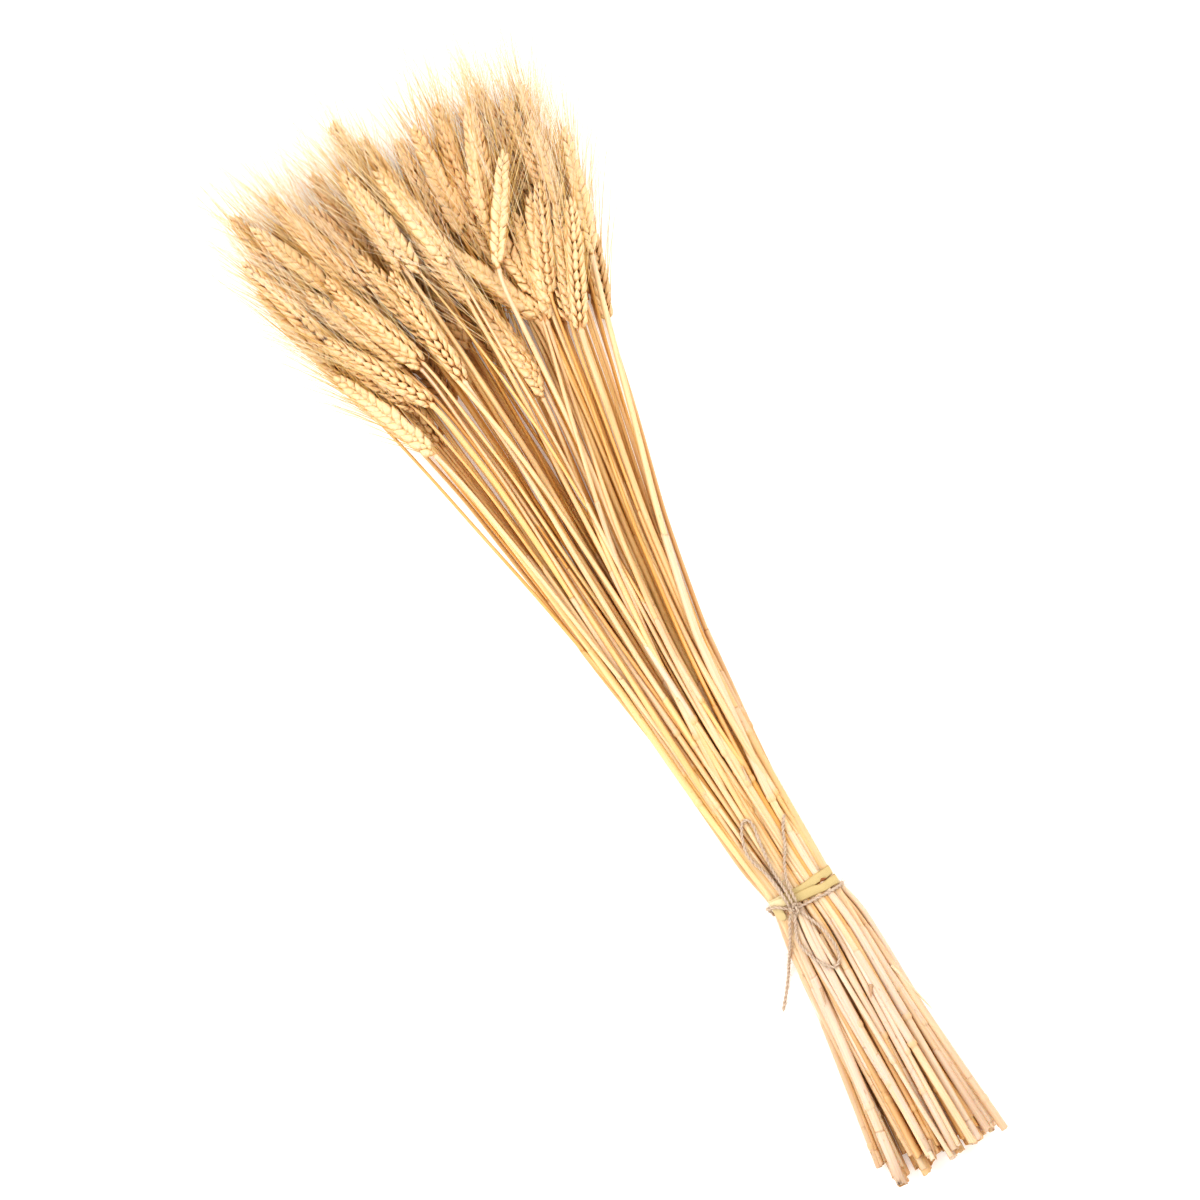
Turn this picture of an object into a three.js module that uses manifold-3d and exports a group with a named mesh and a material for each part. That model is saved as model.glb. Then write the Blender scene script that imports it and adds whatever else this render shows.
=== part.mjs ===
// A bundle of dried bearded wheat lying on a table: forty stalks, a straw band and a jute twine.
// Millimetres. X runs across the bundle, Y along it towards the ears, Z up from the table.
import * as THREE from 'three';
import { mergeVertices } from 'three/addons/utils/BufferGeometryUtils.js';
import Module from 'manifold-3d';

const wasm = await Module();
wasm.setup();

// Driving dimensions of the bundle.
const CUT_END = -149;              // where the straws are cut, measured from the tie
const CUT_SPREAD = 9;              // how unevenly they are cut
const TIE_ROWS = [8, 9, 8, 9, 6];  // straws in each row at the tie, from the table up
const TIE_PITCH = 3.75;            // from straw to straw in a row at the tie
const TIE_RISE = 3.25;             // from row to row at the tie
const TIE_FLOOR = 2.0;             // room under the straws at the tie for the band and the twine
const TIE_HALF = 14;               // half the length over which that room is kept
const CUT_FLARE = 1.6;             // how much wider the cut end is than the tie
const CUT_LEAN = 2;                // how far the cut end leans to the left
const CUT_STRAY = 7;               // how far a straw strays sideways at its cut end
const CUT_JUMBLE = 2;              // and up or down
const CUT_LOWEST = 2.4;            // middle of the lowest straws at the cut end
const CUT_RISE = 4.1;              // from row to row at the cut end
const WAIST = 135;                 // between the tie and the ears, where the rows are still in order
const WAIST_LOWEST = 2.5;
const WAIST_RISE = 4.4;
const HEAP_AT = 300;               // from here on the ears lie in their levels
const HEAP_RISE = 7.5;             // from level to level among the ears
const GAP = 0.35;                  // between neighbouring straws
const TABLE_GAP = 0.2;             // between the table and what the band holds off it

// Driving dimensions of one stalk.
const STRAW_SIDES = 5;
const STRAW_RADII = [
  [-150, 2.05], [-75, 1.95], [-20, 1.7], [20, 1.65], [75, 1.65], [135, 1.5], [250, 1.25], [400, 1.1],
];
const NODE_FIRST = 46;             // the nearest node to the tie
const NODE_RANGE = 58;             // the others lie up to so much farther
const NODE_SWELL = 0.5;            // how far a node stands out of its straw
const NODE_HALF = 4;               // half its length
const EAR_LENGTH = 63;
const EAR_SPREAD = 6;              // how much the ears differ in length
const EAR_RADIUS = 5.0;            // the ear with its husks
const RACHIS_RADIUS = 1.5;         // the middle of the ear, which the spikelets stand out of
const RACHIS_FROM = 0.13;          // where it is thick, as shares of the ear
const RACHIS_TO = 0.86;
const AWN_SHARE = 0.6;             // length of the end awn against its ear
const AWN_DROOP = 3;               // how far its tip strays up or down
const SPIKELETS = 8;               // on one ear that shows, under the end one
const SPIKELETS_UNDER = 7;         // on one ear underneath
const SPIKELET_FIRST = 0.035;      // the lowest one's root, as a share of the ear
const SPIKELET_RANGE = 0.76;       // the others stand over so much of it
const SPIKELET_FACE = 26;          // degrees by which they turn to the ear's two faces
const SPIKELET_BELLY = 0.45;       // where a spikelet is widest, as a share of its length
const SPIKELET_LENGTH = 14.5;
const SPIKELET_SIDES = 3;
const SPIKELET_WIDE = 3.3;
const SPIKELET_THICK = 2.8;
const SPIKELET_LEAN = 23;          // degrees away from the ear's middle line
const AWN_RADIUS = 0.34;           // at its root
const AWN_LENGTH = 54;             // on the lowest spikelet
const AWN_SHORTER = 15;            // by so much on the highest one
const AWN_STRAY = 4;               // millimetres in length and degrees in lean

// Driving dimensions of the tie.
const STRIP_WIDTH = 5;
const STRIP_UNDER = 1.3;           // its inner face stands so high over the table
const WRAPS = [
  { middle: 2.2, slope: 0.02, inner: 0.3, outer: 1.0 },
  { middle: -0.9, slope: -0.13, inner: 0.5, outer: 1.3 },
];
const STRIP_STEEP = 18;            // a slanting wrap is measured so far to each side
const TWINE_RADIUS = 0.85;
const TWINE_SIDES = 6;             // of the turn round the straws
const CORD_SIDES = 8;              // of the free stretches
const TWINE_GAP = 0.3;
const TWINE_MIDDLE = -5.3;         // the turn lies on the cut side of the band
const TWINE_SLOPE = -0.1;
const KNOT_PLACE = [-8.2, -4.4];
const KNOT_SIZE = [3.4, 2.0, 1.9];
const KNOT_LIFT = 1.2;

// The twine's two bows and two ends: where each runs from the knot, over the straws.
const CORD_STEP = 6 * TWINE_RADIUS;
const LOOP_UPPER = [
  [-7.9, -2.1, 22.6], [-7.8, 1.6, 22.6], [-7.7, 5.2, 22.3], [-7.8, 9.0, 20.3], [-8.1, 13.0, 19.6],
  [-8.2, 18.0, 19.6], [-7.6, 25.8, 19.6], [-6.4, 34.9, 19.3], [-5.5, 41.2, 19.1], [-6.3, 45.0, 19.6],
  [-9.0, 45.6, 19.2], [-11.6, 42.4, 18.3], [-14.0, 36.5, 18.2], [-15.2, 30.5, 18.2],
  [-14.5, 25.5, 18.1], [-12.9, 20.5, 18.4], [-11.4, 15.5, 19.0], [-10.5, 10.0, 19.8],
  [-10.2, 5.4, 22.0], [-10.1, 1.6, 22.5], [-10.0, -2.1, 22.6],
];
const END_UPPER = [
  [-5.8, -2.1, 22.6], [-5.6, 1.6, 22.6], [-5.3, 5.2, 22.3], [-4.6, 9.6, 20.2], [-2.8, 14.2, 19.6],
  [-0.5, 18.8, 19.3], [1.8, 22.3, 19.6], [3.8, 25.8, 19.6], [5.2, 29.2, 19.1], [6.6, 32.6, 19.6],
  [8.6, 35.8, 20.3], [10.8, 38.8, 20.9],
];
const LOOP_LOWER = [
  [-6.2, -6.9, 21.8], [-5.0, -10.2, 21.4], [-3.4, -14.0, 22.2], [-2.0, -17.6, 23.0],
  [-0.8, -21.8, 23.5], [0.0, -26.0, 23.6], [0.3, -30.5, 23.4], [-0.4, -35.0, 23.2],
  [-2.4, -38.2, 22.8], [-5.2, -39.5, 22.8], [-7.6, -38.0, 23.3], [-9.6, -35.2, 23.4],
  [-12.0, -31.6, 22.2], [-13.8, -26.8, 20.9], [-14.8, -20.8, 20.0], [-13.4, -15.0, 20.1],
  [-11.2, -10.6, 20.4], [-9.3, -6.9, 21.4],
];
const END_LOWER = [
  [-11.7, -6.2, 20.4], [-13.8, -9.6, 19.4], [-16.0, -13.8, 17.6], [-18.2, -18.0, 15.6],
  [-20.4, -21.9, 12.6], [-22.6, -25.6, 8.6], [-24.8, -29.4, 4.7], [-27.2, -33.4, 2.0],
  [-29.7, -37.0, 1.1], [-32.1, -40.2, 0.95], [-34.4, -43.1, 0.95], [-36.8, -46.0, 0.95],
  [-39.2, -48.9, 0.95],
];

const degrees = Math.PI / 180;

// An ear: where its base is across and along the bundle, where it heads, and its level in the heap.
const ear = (across, along, heading, level) => ({ across, along, heading, level });

// The ears that show from above, from the top of the heap down.
const SEEN_EARS = [
  ear(22, 344, 33, 5.0), ear(3, 358, -9, 4.6), ear(-19, 304, -4, 4.4), ear(15, 289, -10, 4.3),
  ear(67, 328, 17, 4.2), ear(-50, 281, -22, 4.1), ear(42, 298, 26, 4.0), ear(28, 315, -25, 3.8),
  ear(-17, 366, -3, 3.7), ear(36, 317, 20, 3.6), ear(29, 366, 22, 3.6), ear(-38, 303, -30, 3.5),
  ear(-32, 323, -20, 3.4), ear(-43, 372, -14, 3.3), ear(60, 342, 13, 3.2), ear(-66, 348, -17, 3.2),
  ear(58, 366, 1, 3.1), ear(-5, 360, -17, 3.0), ear(24, 368, 11, 2.9), ear(-48, 371, -24, 2.9),
  ear(37, 308, 28, 2.8), ear(18, 370, 5, 2.7), ear(-29, 354, -12, 2.7), ear(-9, 318, 0, 2.6),
  ear(64, 362, 12, 2.4), ear(31, 321, 5, 2.3), ear(-15, 326, -6, 2.0),
];

// The ears underneath: a fan in three ranks.
const UNDER_EARS = 13;
const UNDER_ALONG = [298, 331, 362];
const UNDER_LEVEL = [0.1, 1.5, 0.8];
const UNDER_FAN = 0.195;           // half the fan's width against its distance from the tie
const UNDER_HEADING = 0.32;        // degrees for each millimetre across
const UNDER_STRAY = 0.3;           // in level
const UNDER_BELOW = 1.9;           // the seen ears lie on this level or higher

// Where a straw may bend, along the bundle.
const BENDS_LOW = [-20, 0, 20];
const BENDS_HIGH = [140, 200, 255, 305, 345];
const NECK = 14;                   // an ear's straw is straight for so long under it
const BOW = 4.5;                   // the whole bundle bows sideways between the tie and the fan
const BOW_LENGTH = 260;
const FAN_CURVES = [1.5, 1.9, 1.6, 1.8, 1.7];

// A number from 0 to 1 that looks random and is the same each time.
const chance = (index, salt) => {
  const wave = Math.sin(index * 12.9898 + salt * 78.233) * 43758.5453;
  return wave - Math.floor(wave);
};

const spread = (index, salt) => 2 * chance(index, salt) - 1;

// The value of a broken line through [place, value] points.
const along = (points, place) => {
  const next = points.findIndex(([at]) => at >= place);
  if (next === 0) return points[0][1];
  if (next < 0) return points.at(-1)[1];
  const [from, low] = points[next - 1];
  const [to, high] = points[next];
  return low + (high - low) * (place - from) / (to - from);
};

const underEars = () => Array.from({ length: UNDER_EARS }, (_, k) => {
  const base = UNDER_ALONG[k % 3];
  const across = (2 * k / (UNDER_EARS - 1) - 1) * UNDER_FAN * base;
  return ear(across, base, across * UNDER_HEADING, UNDER_LEVEL[k % 3] + UNDER_STRAY * chance(k, 1));
});

// Rows at the tie are filled from the lowest ears up, and each row keeps the order of its fan.
const stackRows = (ears) => {
  const rising = [...ears].sort((a, b) => a.level - b.level);
  const stalks = [];
  TIE_ROWS.forEach((count, row) => {
    const members = rising.splice(0, count).sort((a, b) => a.across / a.along - b.across / b.along);
    members.forEach((one, place) => {
      stalks.push({ ...one, row, tieAcross: (place - (count - 1) / 2) * TIE_PITCH });
    });
  });
  return stalks;
};

// The height that a stalk is aimed at, before the heap settles.
const heapHeight = (stalk, y) => {
  const tied = TIE_FLOOR + along(STRAW_RADII, 0) + stalk.row * TIE_RISE;
  return along([
    [CUT_END, CUT_LOWEST + stalk.row * CUT_RISE + CUT_JUMBLE * spread(stalk.index, 8)],
    [BENDS_LOW.at(0), tied],
    [BENDS_LOW.at(-1), tied],
    [WAIST, WAIST_LOWEST + stalk.row * WAIST_RISE],
    [HEAP_AT, EAR_RADIUS + stalk.level * HEAP_RISE],
  ], y);
};

// Its place across the bundle: the fan towards the ears, the flare towards the cut end.
const wayAcross = (stalk, y) => {
  if (y < 0) {
    const flare = (CUT_FLARE - 1) * y / CUT_END;
    const stray = (spread(stalk.index, 2) * CUT_STRAY - CUT_LEAN) * y / CUT_END;
    return stalk.tieAcross * (1 + flare) + stray;
  }
  const fan = (y / stalk.along) ** FAN_CURVES[stalk.row];
  const bow = y < BOW_LENGTH ? BOW * Math.sin(Math.PI * y / BOW_LENGTH) : 0;
  return stalk.tieAcross + (stalk.across - stalk.tieAcross) * fan - bow;
};

// The stalk's middle line: a point at each bend, the ear's base, and the end awn's tip.
const layStalk = (stalk) => {
  const cut = CUT_END + CUT_SPREAD * (chance(stalk.index, 3) - 0.6);
  const high = BENDS_HIGH.filter((y) => y < stalk.along - NECK);
  stalk.length = EAR_LENGTH + EAR_SPREAD * spread(stalk.index, 4);
  stalk.node = NODE_FIRST + NODE_RANGE * chance(stalk.index, 5);
  const bends = [cut, ...BENDS_LOW, stalk.node, ...high, stalk.along];
  const reach = (1 + AWN_SHARE) * stalk.length;
  stalk.y = [...bends, stalk.along + reach * Math.cos(stalk.heading * degrees)];
  stalk.x = bends.map((y) => wayAcross(stalk, y));
  stalk.x.push(stalk.across + reach * Math.sin(stalk.heading * degrees));
  stalk.z = bends.map((y) => heapHeight(stalk, y));
  stalk.z.push(stalk.z.at(-1) + AWN_DROOP * spread(stalk.index, 6));
  stalk.aimX = [...stalk.x];
  stalk.aimZ = [...stalk.z];
  stalk.earEnd = stalk.along + stalk.length * Math.cos(stalk.heading * degrees);
  stalk.held = stalk.y.indexOf(0);
};

const strawRadius = (stalk, y) => {
  const nodes = Math.abs(y - stalk.node) < 2 * NODE_HALF ? NODE_SWELL : 0;
  return along(STRAW_RADII, y) + nodes;
};

const AWNS_ROOM = 0.9;             // round an end awn
const EAR_START = 3;               // an ear is at its full width so far from its base

// The room that a stalk takes up round its middle line.
const roomRadius = (stalk, y) => {
  if (y > stalk.earEnd) return AWNS_ROOM;
  if (y > stalk.along + EAR_START) return EAR_RADIUS;
  return strawRadius(stalk, y);
};

// How the heap settles: in many passes over slices that lie across it.
const SLICE = 6;                   // from slice to slice
const LAST_SLICE = 520;
const PASSES = 420;
const SETTLED = 0.6;               // share of the passes in which weight and aim still pull
const WEIGHT = 0.05;               // how far a stalk sinks in a pass
const AIM = 0.02;                  // how much of its way back to its aim it takes
const SMOOTH = 0.04;               // how much of a kink is eased
const PUSH = 0.4;                  // how much of an overlap is taken out, by each of two stalks
const LIFT = 0.6;                  // and by the table

// One slice across the bundle: where each stalk that reaches it stands.
const sliceAt = (stalks, y) => stalks.filter((s) => y > s.y[0] && y < s.y.at(-1)).map((stalk) => {
  const next = stalk.y.findIndex((place) => place > y);
  const share = (y - stalk.y[next - 1]) / (stalk.y[next] - stalk.y[next - 1]);
  const scale = 1 / (share * share + (1 - share) * (1 - share));
  return { stalk, k: next - 1, share, scale, radius: roomRadius(stalk, y), ear: y > stalk.along };
});

const shift = (spot, dx, dz) => {
  const { stalk, k, share, scale } = spot;
  if (k !== stalk.held) {
    stalk.x[k] += dx * (1 - share) * scale;
    stalk.z[k] += dz * (1 - share) * scale;
  }
  if (k + 1 !== stalk.held) {
    stalk.x[k + 1] += dx * share * scale;
    stalk.z[k + 1] += dz * share * scale;
  }
};

const placeOf = ({ stalk, k, share }) => [
  stalk.x[k] + (stalk.x[k + 1] - stalk.x[k]) * share,
  stalk.z[k] + (stalk.z[k + 1] - stalk.z[k]) * share,
];

// Two stalks that press into each other in a slice are each moved half the way out.
const pushApart = (slice) => {
  for (let i = 0; i < slice.length; i++) {
    for (let j = i + 1; j < slice.length; j++) {
      const [ax, az] = placeOf(slice[i]);
      const [bx, bz] = placeOf(slice[j]);
      const room = slice[i].radius + slice[j].radius + GAP;
      const dx = bx - ax;
      const dz = bz - az;
      const apart = Math.hypot(dx, dz);
      if (apart >= room || apart === 0) continue;
      const push = PUSH * (room - apart) / apart;
      shift(slice[i], -dx * push, -dz * push);
      shift(slice[j], dx * push, dz * push);
    }
  }
};

const floorUnder = (spot, y) => (Math.abs(y) < TIE_HALF ? TIE_FLOOR : TABLE_GAP) + spot.radius;

const liftOffTable = (slice, y) => slice.forEach((spot) => {
  const low = floorUnder(spot, y) - placeOf(spot)[1];
  if (low > 0) shift(spot, 0, low * LIFT);
});

const ease = (stalk) => {
  for (let k = 0; k < stalk.y.length; k++) {
    if (k === stalk.held) continue;
    stalk.z[k] -= WEIGHT;
    stalk.x[k] += (stalk.aimX[k] - stalk.x[k]) * AIM;
    if (k === 0 || k === stalk.y.length - 1) continue;
    const strayX = (i) => stalk.x[i] - stalk.aimX[i];
    const strayZ = (i) => stalk.z[i] - stalk.aimZ[i];
    stalk.x[k] += ((strayX(k - 1) + strayX(k + 1)) / 2 - strayX(k)) * SMOOTH;
    stalk.z[k] += ((strayZ(k - 1) + strayZ(k + 1)) / 2 - strayZ(k)) * SMOOTH;
  }
};

// The heap settles: stalks sink, lean on each other and on the table, and keep clear.
const settle = (stalks) => {
  const places = [];
  for (let y = CUT_END - CUT_SPREAD; y < LAST_SLICE; y += SLICE) places.push(y);
  const slices = places.map((y) => sliceAt(stalks, y));
  for (let pass = 0; pass < PASSES; pass++) {
    if (pass < PASSES * SETTLED) stalks.forEach(ease);
    slices.forEach((slice, n) => {
      pushApart(slice);
      liftOffTable(slice, places[n]);
    });
  }
};

const middleAt = (stalk, y) => {
  const line = (values) => along(stalk.y.map((place, k) => [place, values[k]]), y);
  return new THREE.Vector3(line(stalk.x), y, line(stalk.z));
};

// Solids for joining, and their way back to a mesh.
const solidOf = (geometry) => {
  const bare = geometry.clone();
  bare.deleteAttribute('normal');
  bare.deleteAttribute('uv');
  const merged = mergeVertices(bare, 1e-4);
  const vertProperties = new Float32Array(merged.attributes.position.array);
  const triVerts = new Uint32Array(merged.index.array);
  return new wasm.Manifold(new wasm.Mesh({ numProp: 3, vertProperties, triVerts }));
};

const geometryOf = (solid) => {
  const { vertProperties, triVerts } = solid.getMesh();
  const geometry = new THREE.BufferGeometry();
  geometry.setAttribute('position', new THREE.BufferAttribute(vertProperties, 3));
  geometry.setIndex(new THREE.BufferAttribute(triVerts, 1));
  return geometry;
};

const joined = (solids) => solids.reduce((whole, solid) => whole.add(solid));

// A solid turned about Y, from [radius, y] points that start and end on the axis.
const turned = (profile, sides) =>
  new THREE.LatheGeometry(profile.map(([radius, y]) => new THREE.Vector2(radius, y)), sides);

// The straw, the ear's middle and the end spikelet with its awn, in one piece.
const strawProfile = (stalk) => {
  const rachis = stalk.earEnd - stalk.along;
  const rings = [...stalk.y.slice(0, -1), stalk.node - NODE_HALF].sort((a, b) => a - b);
  return [
    [0, stalk.y[0]],
    ...rings.map((y) => [along(STRAW_RADII, y) + (y === stalk.node ? NODE_SWELL : 0), y]),
    [RACHIS_RADIUS, stalk.along + RACHIS_FROM * rachis],
    [RACHIS_RADIUS, stalk.along + RACHIS_TO * rachis],
    [AWN_RADIUS, stalk.earEnd],
    [0, stalk.y.at(-1)],
  ];
};

const strawGeometry = (stalk) => {
  const geometry = turned(strawProfile(stalk), STRAW_SIDES);
  const spots = geometry.attributes.position;
  for (let i = 0; i < spots.count; i++) {
    const middle = middleAt(stalk, spots.getY(i));
    spots.setXYZ(i, spots.getX(i) + middle.x, spots.getY(i), spots.getZ(i) + middle.z);
  }
  return geometry;
};

// The ear's own axes: along it, and two across it.
const earFrame = (stalk) => {
  const base = middleAt(stalk, stalk.along);
  const ahead = middleAt(stalk, stalk.y.at(-1)).sub(base).normalize();
  const side = new THREE.Vector3(0, 0, 1).cross(ahead).normalize();
  return { base, ahead, side, up: ahead.clone().cross(side) };
};

const outwards = (frame, turn) => frame.side.clone().multiplyScalar(Math.cos(turn))
  .addScaledVector(frame.up, Math.sin(turn));

const leaning = (frame, turn, lean) => frame.ahead.clone().multiplyScalar(Math.cos(lean))
  .addScaledVector(outwards(frame, turn), Math.sin(lean));

const spikeletCount = (stalk) => (stalk.level < UNDER_BELOW ? SPIKELETS_UNDER : SPIKELETS);

// Spikelets stand in two ranks, turned a little to one face and the other.
const spikeletOf = (stalk, frame, k) => {
  const roll = chance(stalk.index, 7) * Math.PI;
  const rank = (k % 2) * Math.PI;
  const face = (k % 4 < 2 ? SPIKELET_FACE : -SPIKELET_FACE) * degrees;
  const turn = roll + rank + face;
  const high = k / (spikeletCount(stalk) - 1);
  const step = stalk.length * (SPIKELET_FIRST + SPIKELET_RANGE * high);
  const root = frame.base.clone().addScaledVector(frame.ahead, step);
  const aim = leaning(frame, turn, SPIKELET_LEAN * degrees);
  return { stalk, k, high, turn, root, aim, size: 1 };
};

const neckOf = (spikelet) =>
  spikelet.root.clone().addScaledVector(spikelet.aim, SPIKELET_LENGTH * spikelet.size);

// A spikelet's husks are one body with its awn: the last point of the profile is the awn's tip.
const spikeletGeometry = (spikelet, frame) => {
  const long = SPIKELET_LENGTH * spikelet.size;
  const belly = SPIKELET_BELLY * long;
  const geometry = turned([[0, 0], [1, belly], [AWN_RADIUS, long], [0, 2 * long]], SPIKELET_SIDES);
  const spots = geometry.attributes.position;
  const outer = outwards(frame, spikelet.turn);
  const broad = new THREE.Vector3().crossVectors(spikelet.aim, outer).normalize();
  const thick = new THREE.Vector3().crossVectors(broad, spikelet.aim).normalize();
  for (let i = 0; i < spots.count; i++) {
    const y = spots.getY(i);
    const body = y < long / 2;
    const wide = spots.getX(i) * (body ? SPIKELET_WIDE * spikelet.size : 1);
    const deep = spots.getZ(i) * (body ? SPIKELET_THICK * spikelet.size : 1);
    const spot = spikelet.root.clone().addScaledVector(spikelet.aim, y)
      .addScaledVector(broad, wide).addScaledVector(thick, deep);
    if (y > 1.5 * long) spot.copy(spikelet.tip);
    spots.setXYZ(i, spot.x, spot.y, spot.z);
  }
  return geometry;
};

// Rods stand for the straws, husks and awns when their clearance is measured.
const rod = (from, to, radius, owner) => ({ from, to, radius, owner });

// The nearest distance between two rods' middle lines.
const apart = (p, q) => {
  const d1 = p.to.clone().sub(p.from);
  const d2 = q.to.clone().sub(q.from);
  const r = p.from.clone().sub(q.from);
  const a = d1.dot(d1);
  const e = d2.dot(d2);
  const b = d1.dot(d2);
  const c = d1.dot(r);
  const f = d2.dot(r);
  const wide = a * e - b * b;
  const clamp = (v) => Math.min(1, Math.max(0, v));
  let s = wide > 1e-9 ? clamp((b * f - c * e) / wide) : 0;
  const t = clamp((b * s + f) / e);
  s = clamp((b * t - c) / a);
  return p.from.clone().addScaledVector(d1, s).distanceTo(q.from.clone().addScaledVector(d2, t));
};

const boxesNear = (p, q, room) => ['x', 'y', 'z'].every((axis) =>
  Math.min(p.from[axis], p.to[axis]) - room < Math.max(q.from[axis], q.to[axis])
  && Math.min(q.from[axis], q.to[axis]) - room < Math.max(p.from[axis], p.to[axis]));

const clearOf = (one, rods, gap) => rods.every((other) => {
  if (other.owner === one.owner) return true;
  const room = one.radius + other.radius + gap;
  return !boxesNear(one, other, room) || apart(one, other) > room;
});

const strawRods = (stalk) => {
  const rods = [];
  for (let k = 0; k + 2 < stalk.y.length; k++) {
    const radius = Math.max(strawRadius(stalk, stalk.y[k]), strawRadius(stalk, stalk.y[k + 1]));
    rods.push(rod(middleAt(stalk, stalk.y[k]), middleAt(stalk, stalk.y[k + 1]), radius, stalk));
  }
  const end = middleAt(stalk, stalk.earEnd);
  rods.push(rod(middleAt(stalk, stalk.along), end, RACHIS_RADIUS, stalk));
  rods.push(rod(end, middleAt(stalk, stalk.y.at(-1)), AWN_RADIUS, stalk));
  return rods;
};

const HUSK_GAP = 0.15;             // kept from one stalk to the next
const AWN_GAP = 0.12;
const AWN_LOWEST = 0.4;            // how near an awn's tip comes to the table
const HUSK_SIZES = [1, 0.88, 0.76, 0.64, 0.52];

const BELLY_FROM = 0.3;            // a spikelet is broad between these shares of its length
const BELLY_TO = 0.55;

const huskRods = (spikelet) => {
  const long = SPIKELET_LENGTH * spikelet.size;
  const at = (share) => spikelet.root.clone().addScaledVector(spikelet.aim, share * long);
  const broad = (SPIKELET_WIDE + SPIKELET_THICK) / 2 * spikelet.size;
  return [
    rod(at(BELLY_FROM), at(BELLY_TO), broad, spikelet.stalk),
    rod(at(BELLY_TO), at(1), broad / 2, spikelet.stalk),
  ];
};

// A spikelet that would press into a neighbour stays smaller.
const fitHusk = (spikelet, rods) => {
  const fits = HUSK_SIZES.find((size) => {
    spikelet.size = size;
    return huskRods(spikelet).every((one) => one.to.z > one.radius && clearOf(one, rods, HUSK_GAP));
  });
  spikelet.fits = fits !== undefined;
  if (spikelet.fits) rods.push(...huskRods(spikelet));
};

const AWN_LEANS = [8, 5, 12, 2, 16, 20, -3];
const AWN_TURNS = [0, 25, -25, 50, -50, 80, -80, 120, -120, 180];
const AWN_SHARES = [1, 0.86, 0.7, 0.5, 0.32, 0.18];

// An awn takes the first way that is clear of all others, and a shorter length only if none is.
const fitAwn = (spikelet, frame, rods) => {
  const neck = neckOf(spikelet);
  const stray = (salt) => AWN_STRAY * spread(spikelet.stalk.index, salt + spikelet.k);
  const own = AWN_LENGTH - AWN_SHORTER * spikelet.high + stray(20);
  const tweak = stray(40);
  for (const share of AWN_SHARES) {
    for (const lean of AWN_LEANS) {
      for (const aside of AWN_TURNS) {
        const way = leaning(frame, spikelet.turn + aside * degrees, (lean + tweak) * degrees);
        const tip = neck.clone().addScaledVector(way, own * share);
        const awn = rod(neck, tip, AWN_RADIUS, spikelet.stalk);
        if (tip.z < AWN_LOWEST || !clearOf(awn, rods, AWN_GAP)) continue;
        spikelet.tip = tip;
        rods.push(awn);
        return;
      }
    }
  }
  spikelet.tip = neck.clone().addScaledVector(spikelet.aim, 1);
};

const strawLook = new THREE.MeshStandardMaterial({ color: 0xe2bd7c, roughness: 0.62, metalness: 0 });
const bandLook = new THREE.MeshStandardMaterial({ color: 0xd9c06a, roughness: 0.6, metalness: 0 });
const twineLook = new THREE.MeshStandardMaterial({ color: 0xa98c63, roughness: 0.9, metalness: 0 });

const named = (name, geometry, look) => {
  const mesh = new THREE.Mesh(geometry, look);
  mesh.name = name;
  return mesh;
};

const growStalks = () => {
  const stalks = stackRows([...SEEN_EARS, ...underEars()]);
  stalks.forEach((stalk, index) => { stalk.index = index + 1; });
  stalks.forEach(layStalk);
  settle(stalks);
  const rods = stalks.flatMap(strawRods);
  stalks.forEach((stalk) => {
    stalk.frame = earFrame(stalk);
    const places = Array.from({ length: spikeletCount(stalk) }, (_, k) => k);
    stalk.spikelets = places.map((k) => spikeletOf(stalk, stalk.frame, k));
  });
  const order = [...stalks].reverse();
  order.forEach((stalk) => stalk.spikelets.forEach((one) => fitHusk(one, rods)));
  stalks.forEach((stalk) => { stalk.spikelets = stalk.spikelets.filter((one) => one.fits); });
  order.forEach((stalk) => stalk.spikelets.forEach((one) => fitAwn(one, stalk.frame, rods)));
  return stalks;
};

const stalkMesh = (stalk) => {
  const husks = stalk.spikelets.map((one) => solidOf(spikeletGeometry(one, stalk.frame)));
  const whole = joined([solidOf(strawGeometry(stalk)), ...husks]);
  return named(`stalk_${String(stalk.index).padStart(2, '0')}`, geometryOf(whole), strawLook);
};

// The straws' outline at the tie, seen along the bundle: their farthest reach in each direction.
const OUTLINE_SIDES = 20;
const UNDERSIDE = 15;              // the side of the outline that faces the table

const reaches = (from, to, grow) => Array.from({ length: OUTLINE_SIDES }, (_, side) => {
  const turn = side * 2 * Math.PI / OUTLINE_SIDES;
  const far = stalks.flatMap((stalk) => [from, (from + to) / 2, to].map((y) => {
    const middle = middleAt(stalk, y);
    return middle.x * Math.cos(turn) + middle.z * Math.sin(turn) + along(STRAW_RADII, y);
  }));
  return Math.max(...far) + grow;
});

// Corner by corner, where the straight sides of the outline meet.
const cornersOf = (reach) => reach.map((near, side) => {
  const next = reach[(side + 1) % OUTLINE_SIDES];
  const step = 2 * Math.PI / OUTLINE_SIDES;
  const turn = side * step;
  const slide = (next - near * Math.cos(step)) / Math.sin(step);
  return new THREE.Vector2(
    near * Math.cos(turn) - slide * Math.sin(turn),
    near * Math.sin(turn) + slide * Math.cos(turn),
  );
});

const withFloor = (reach, height) => reach.map((far, side) => (side === UNDERSIDE ? -height : far));

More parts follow.
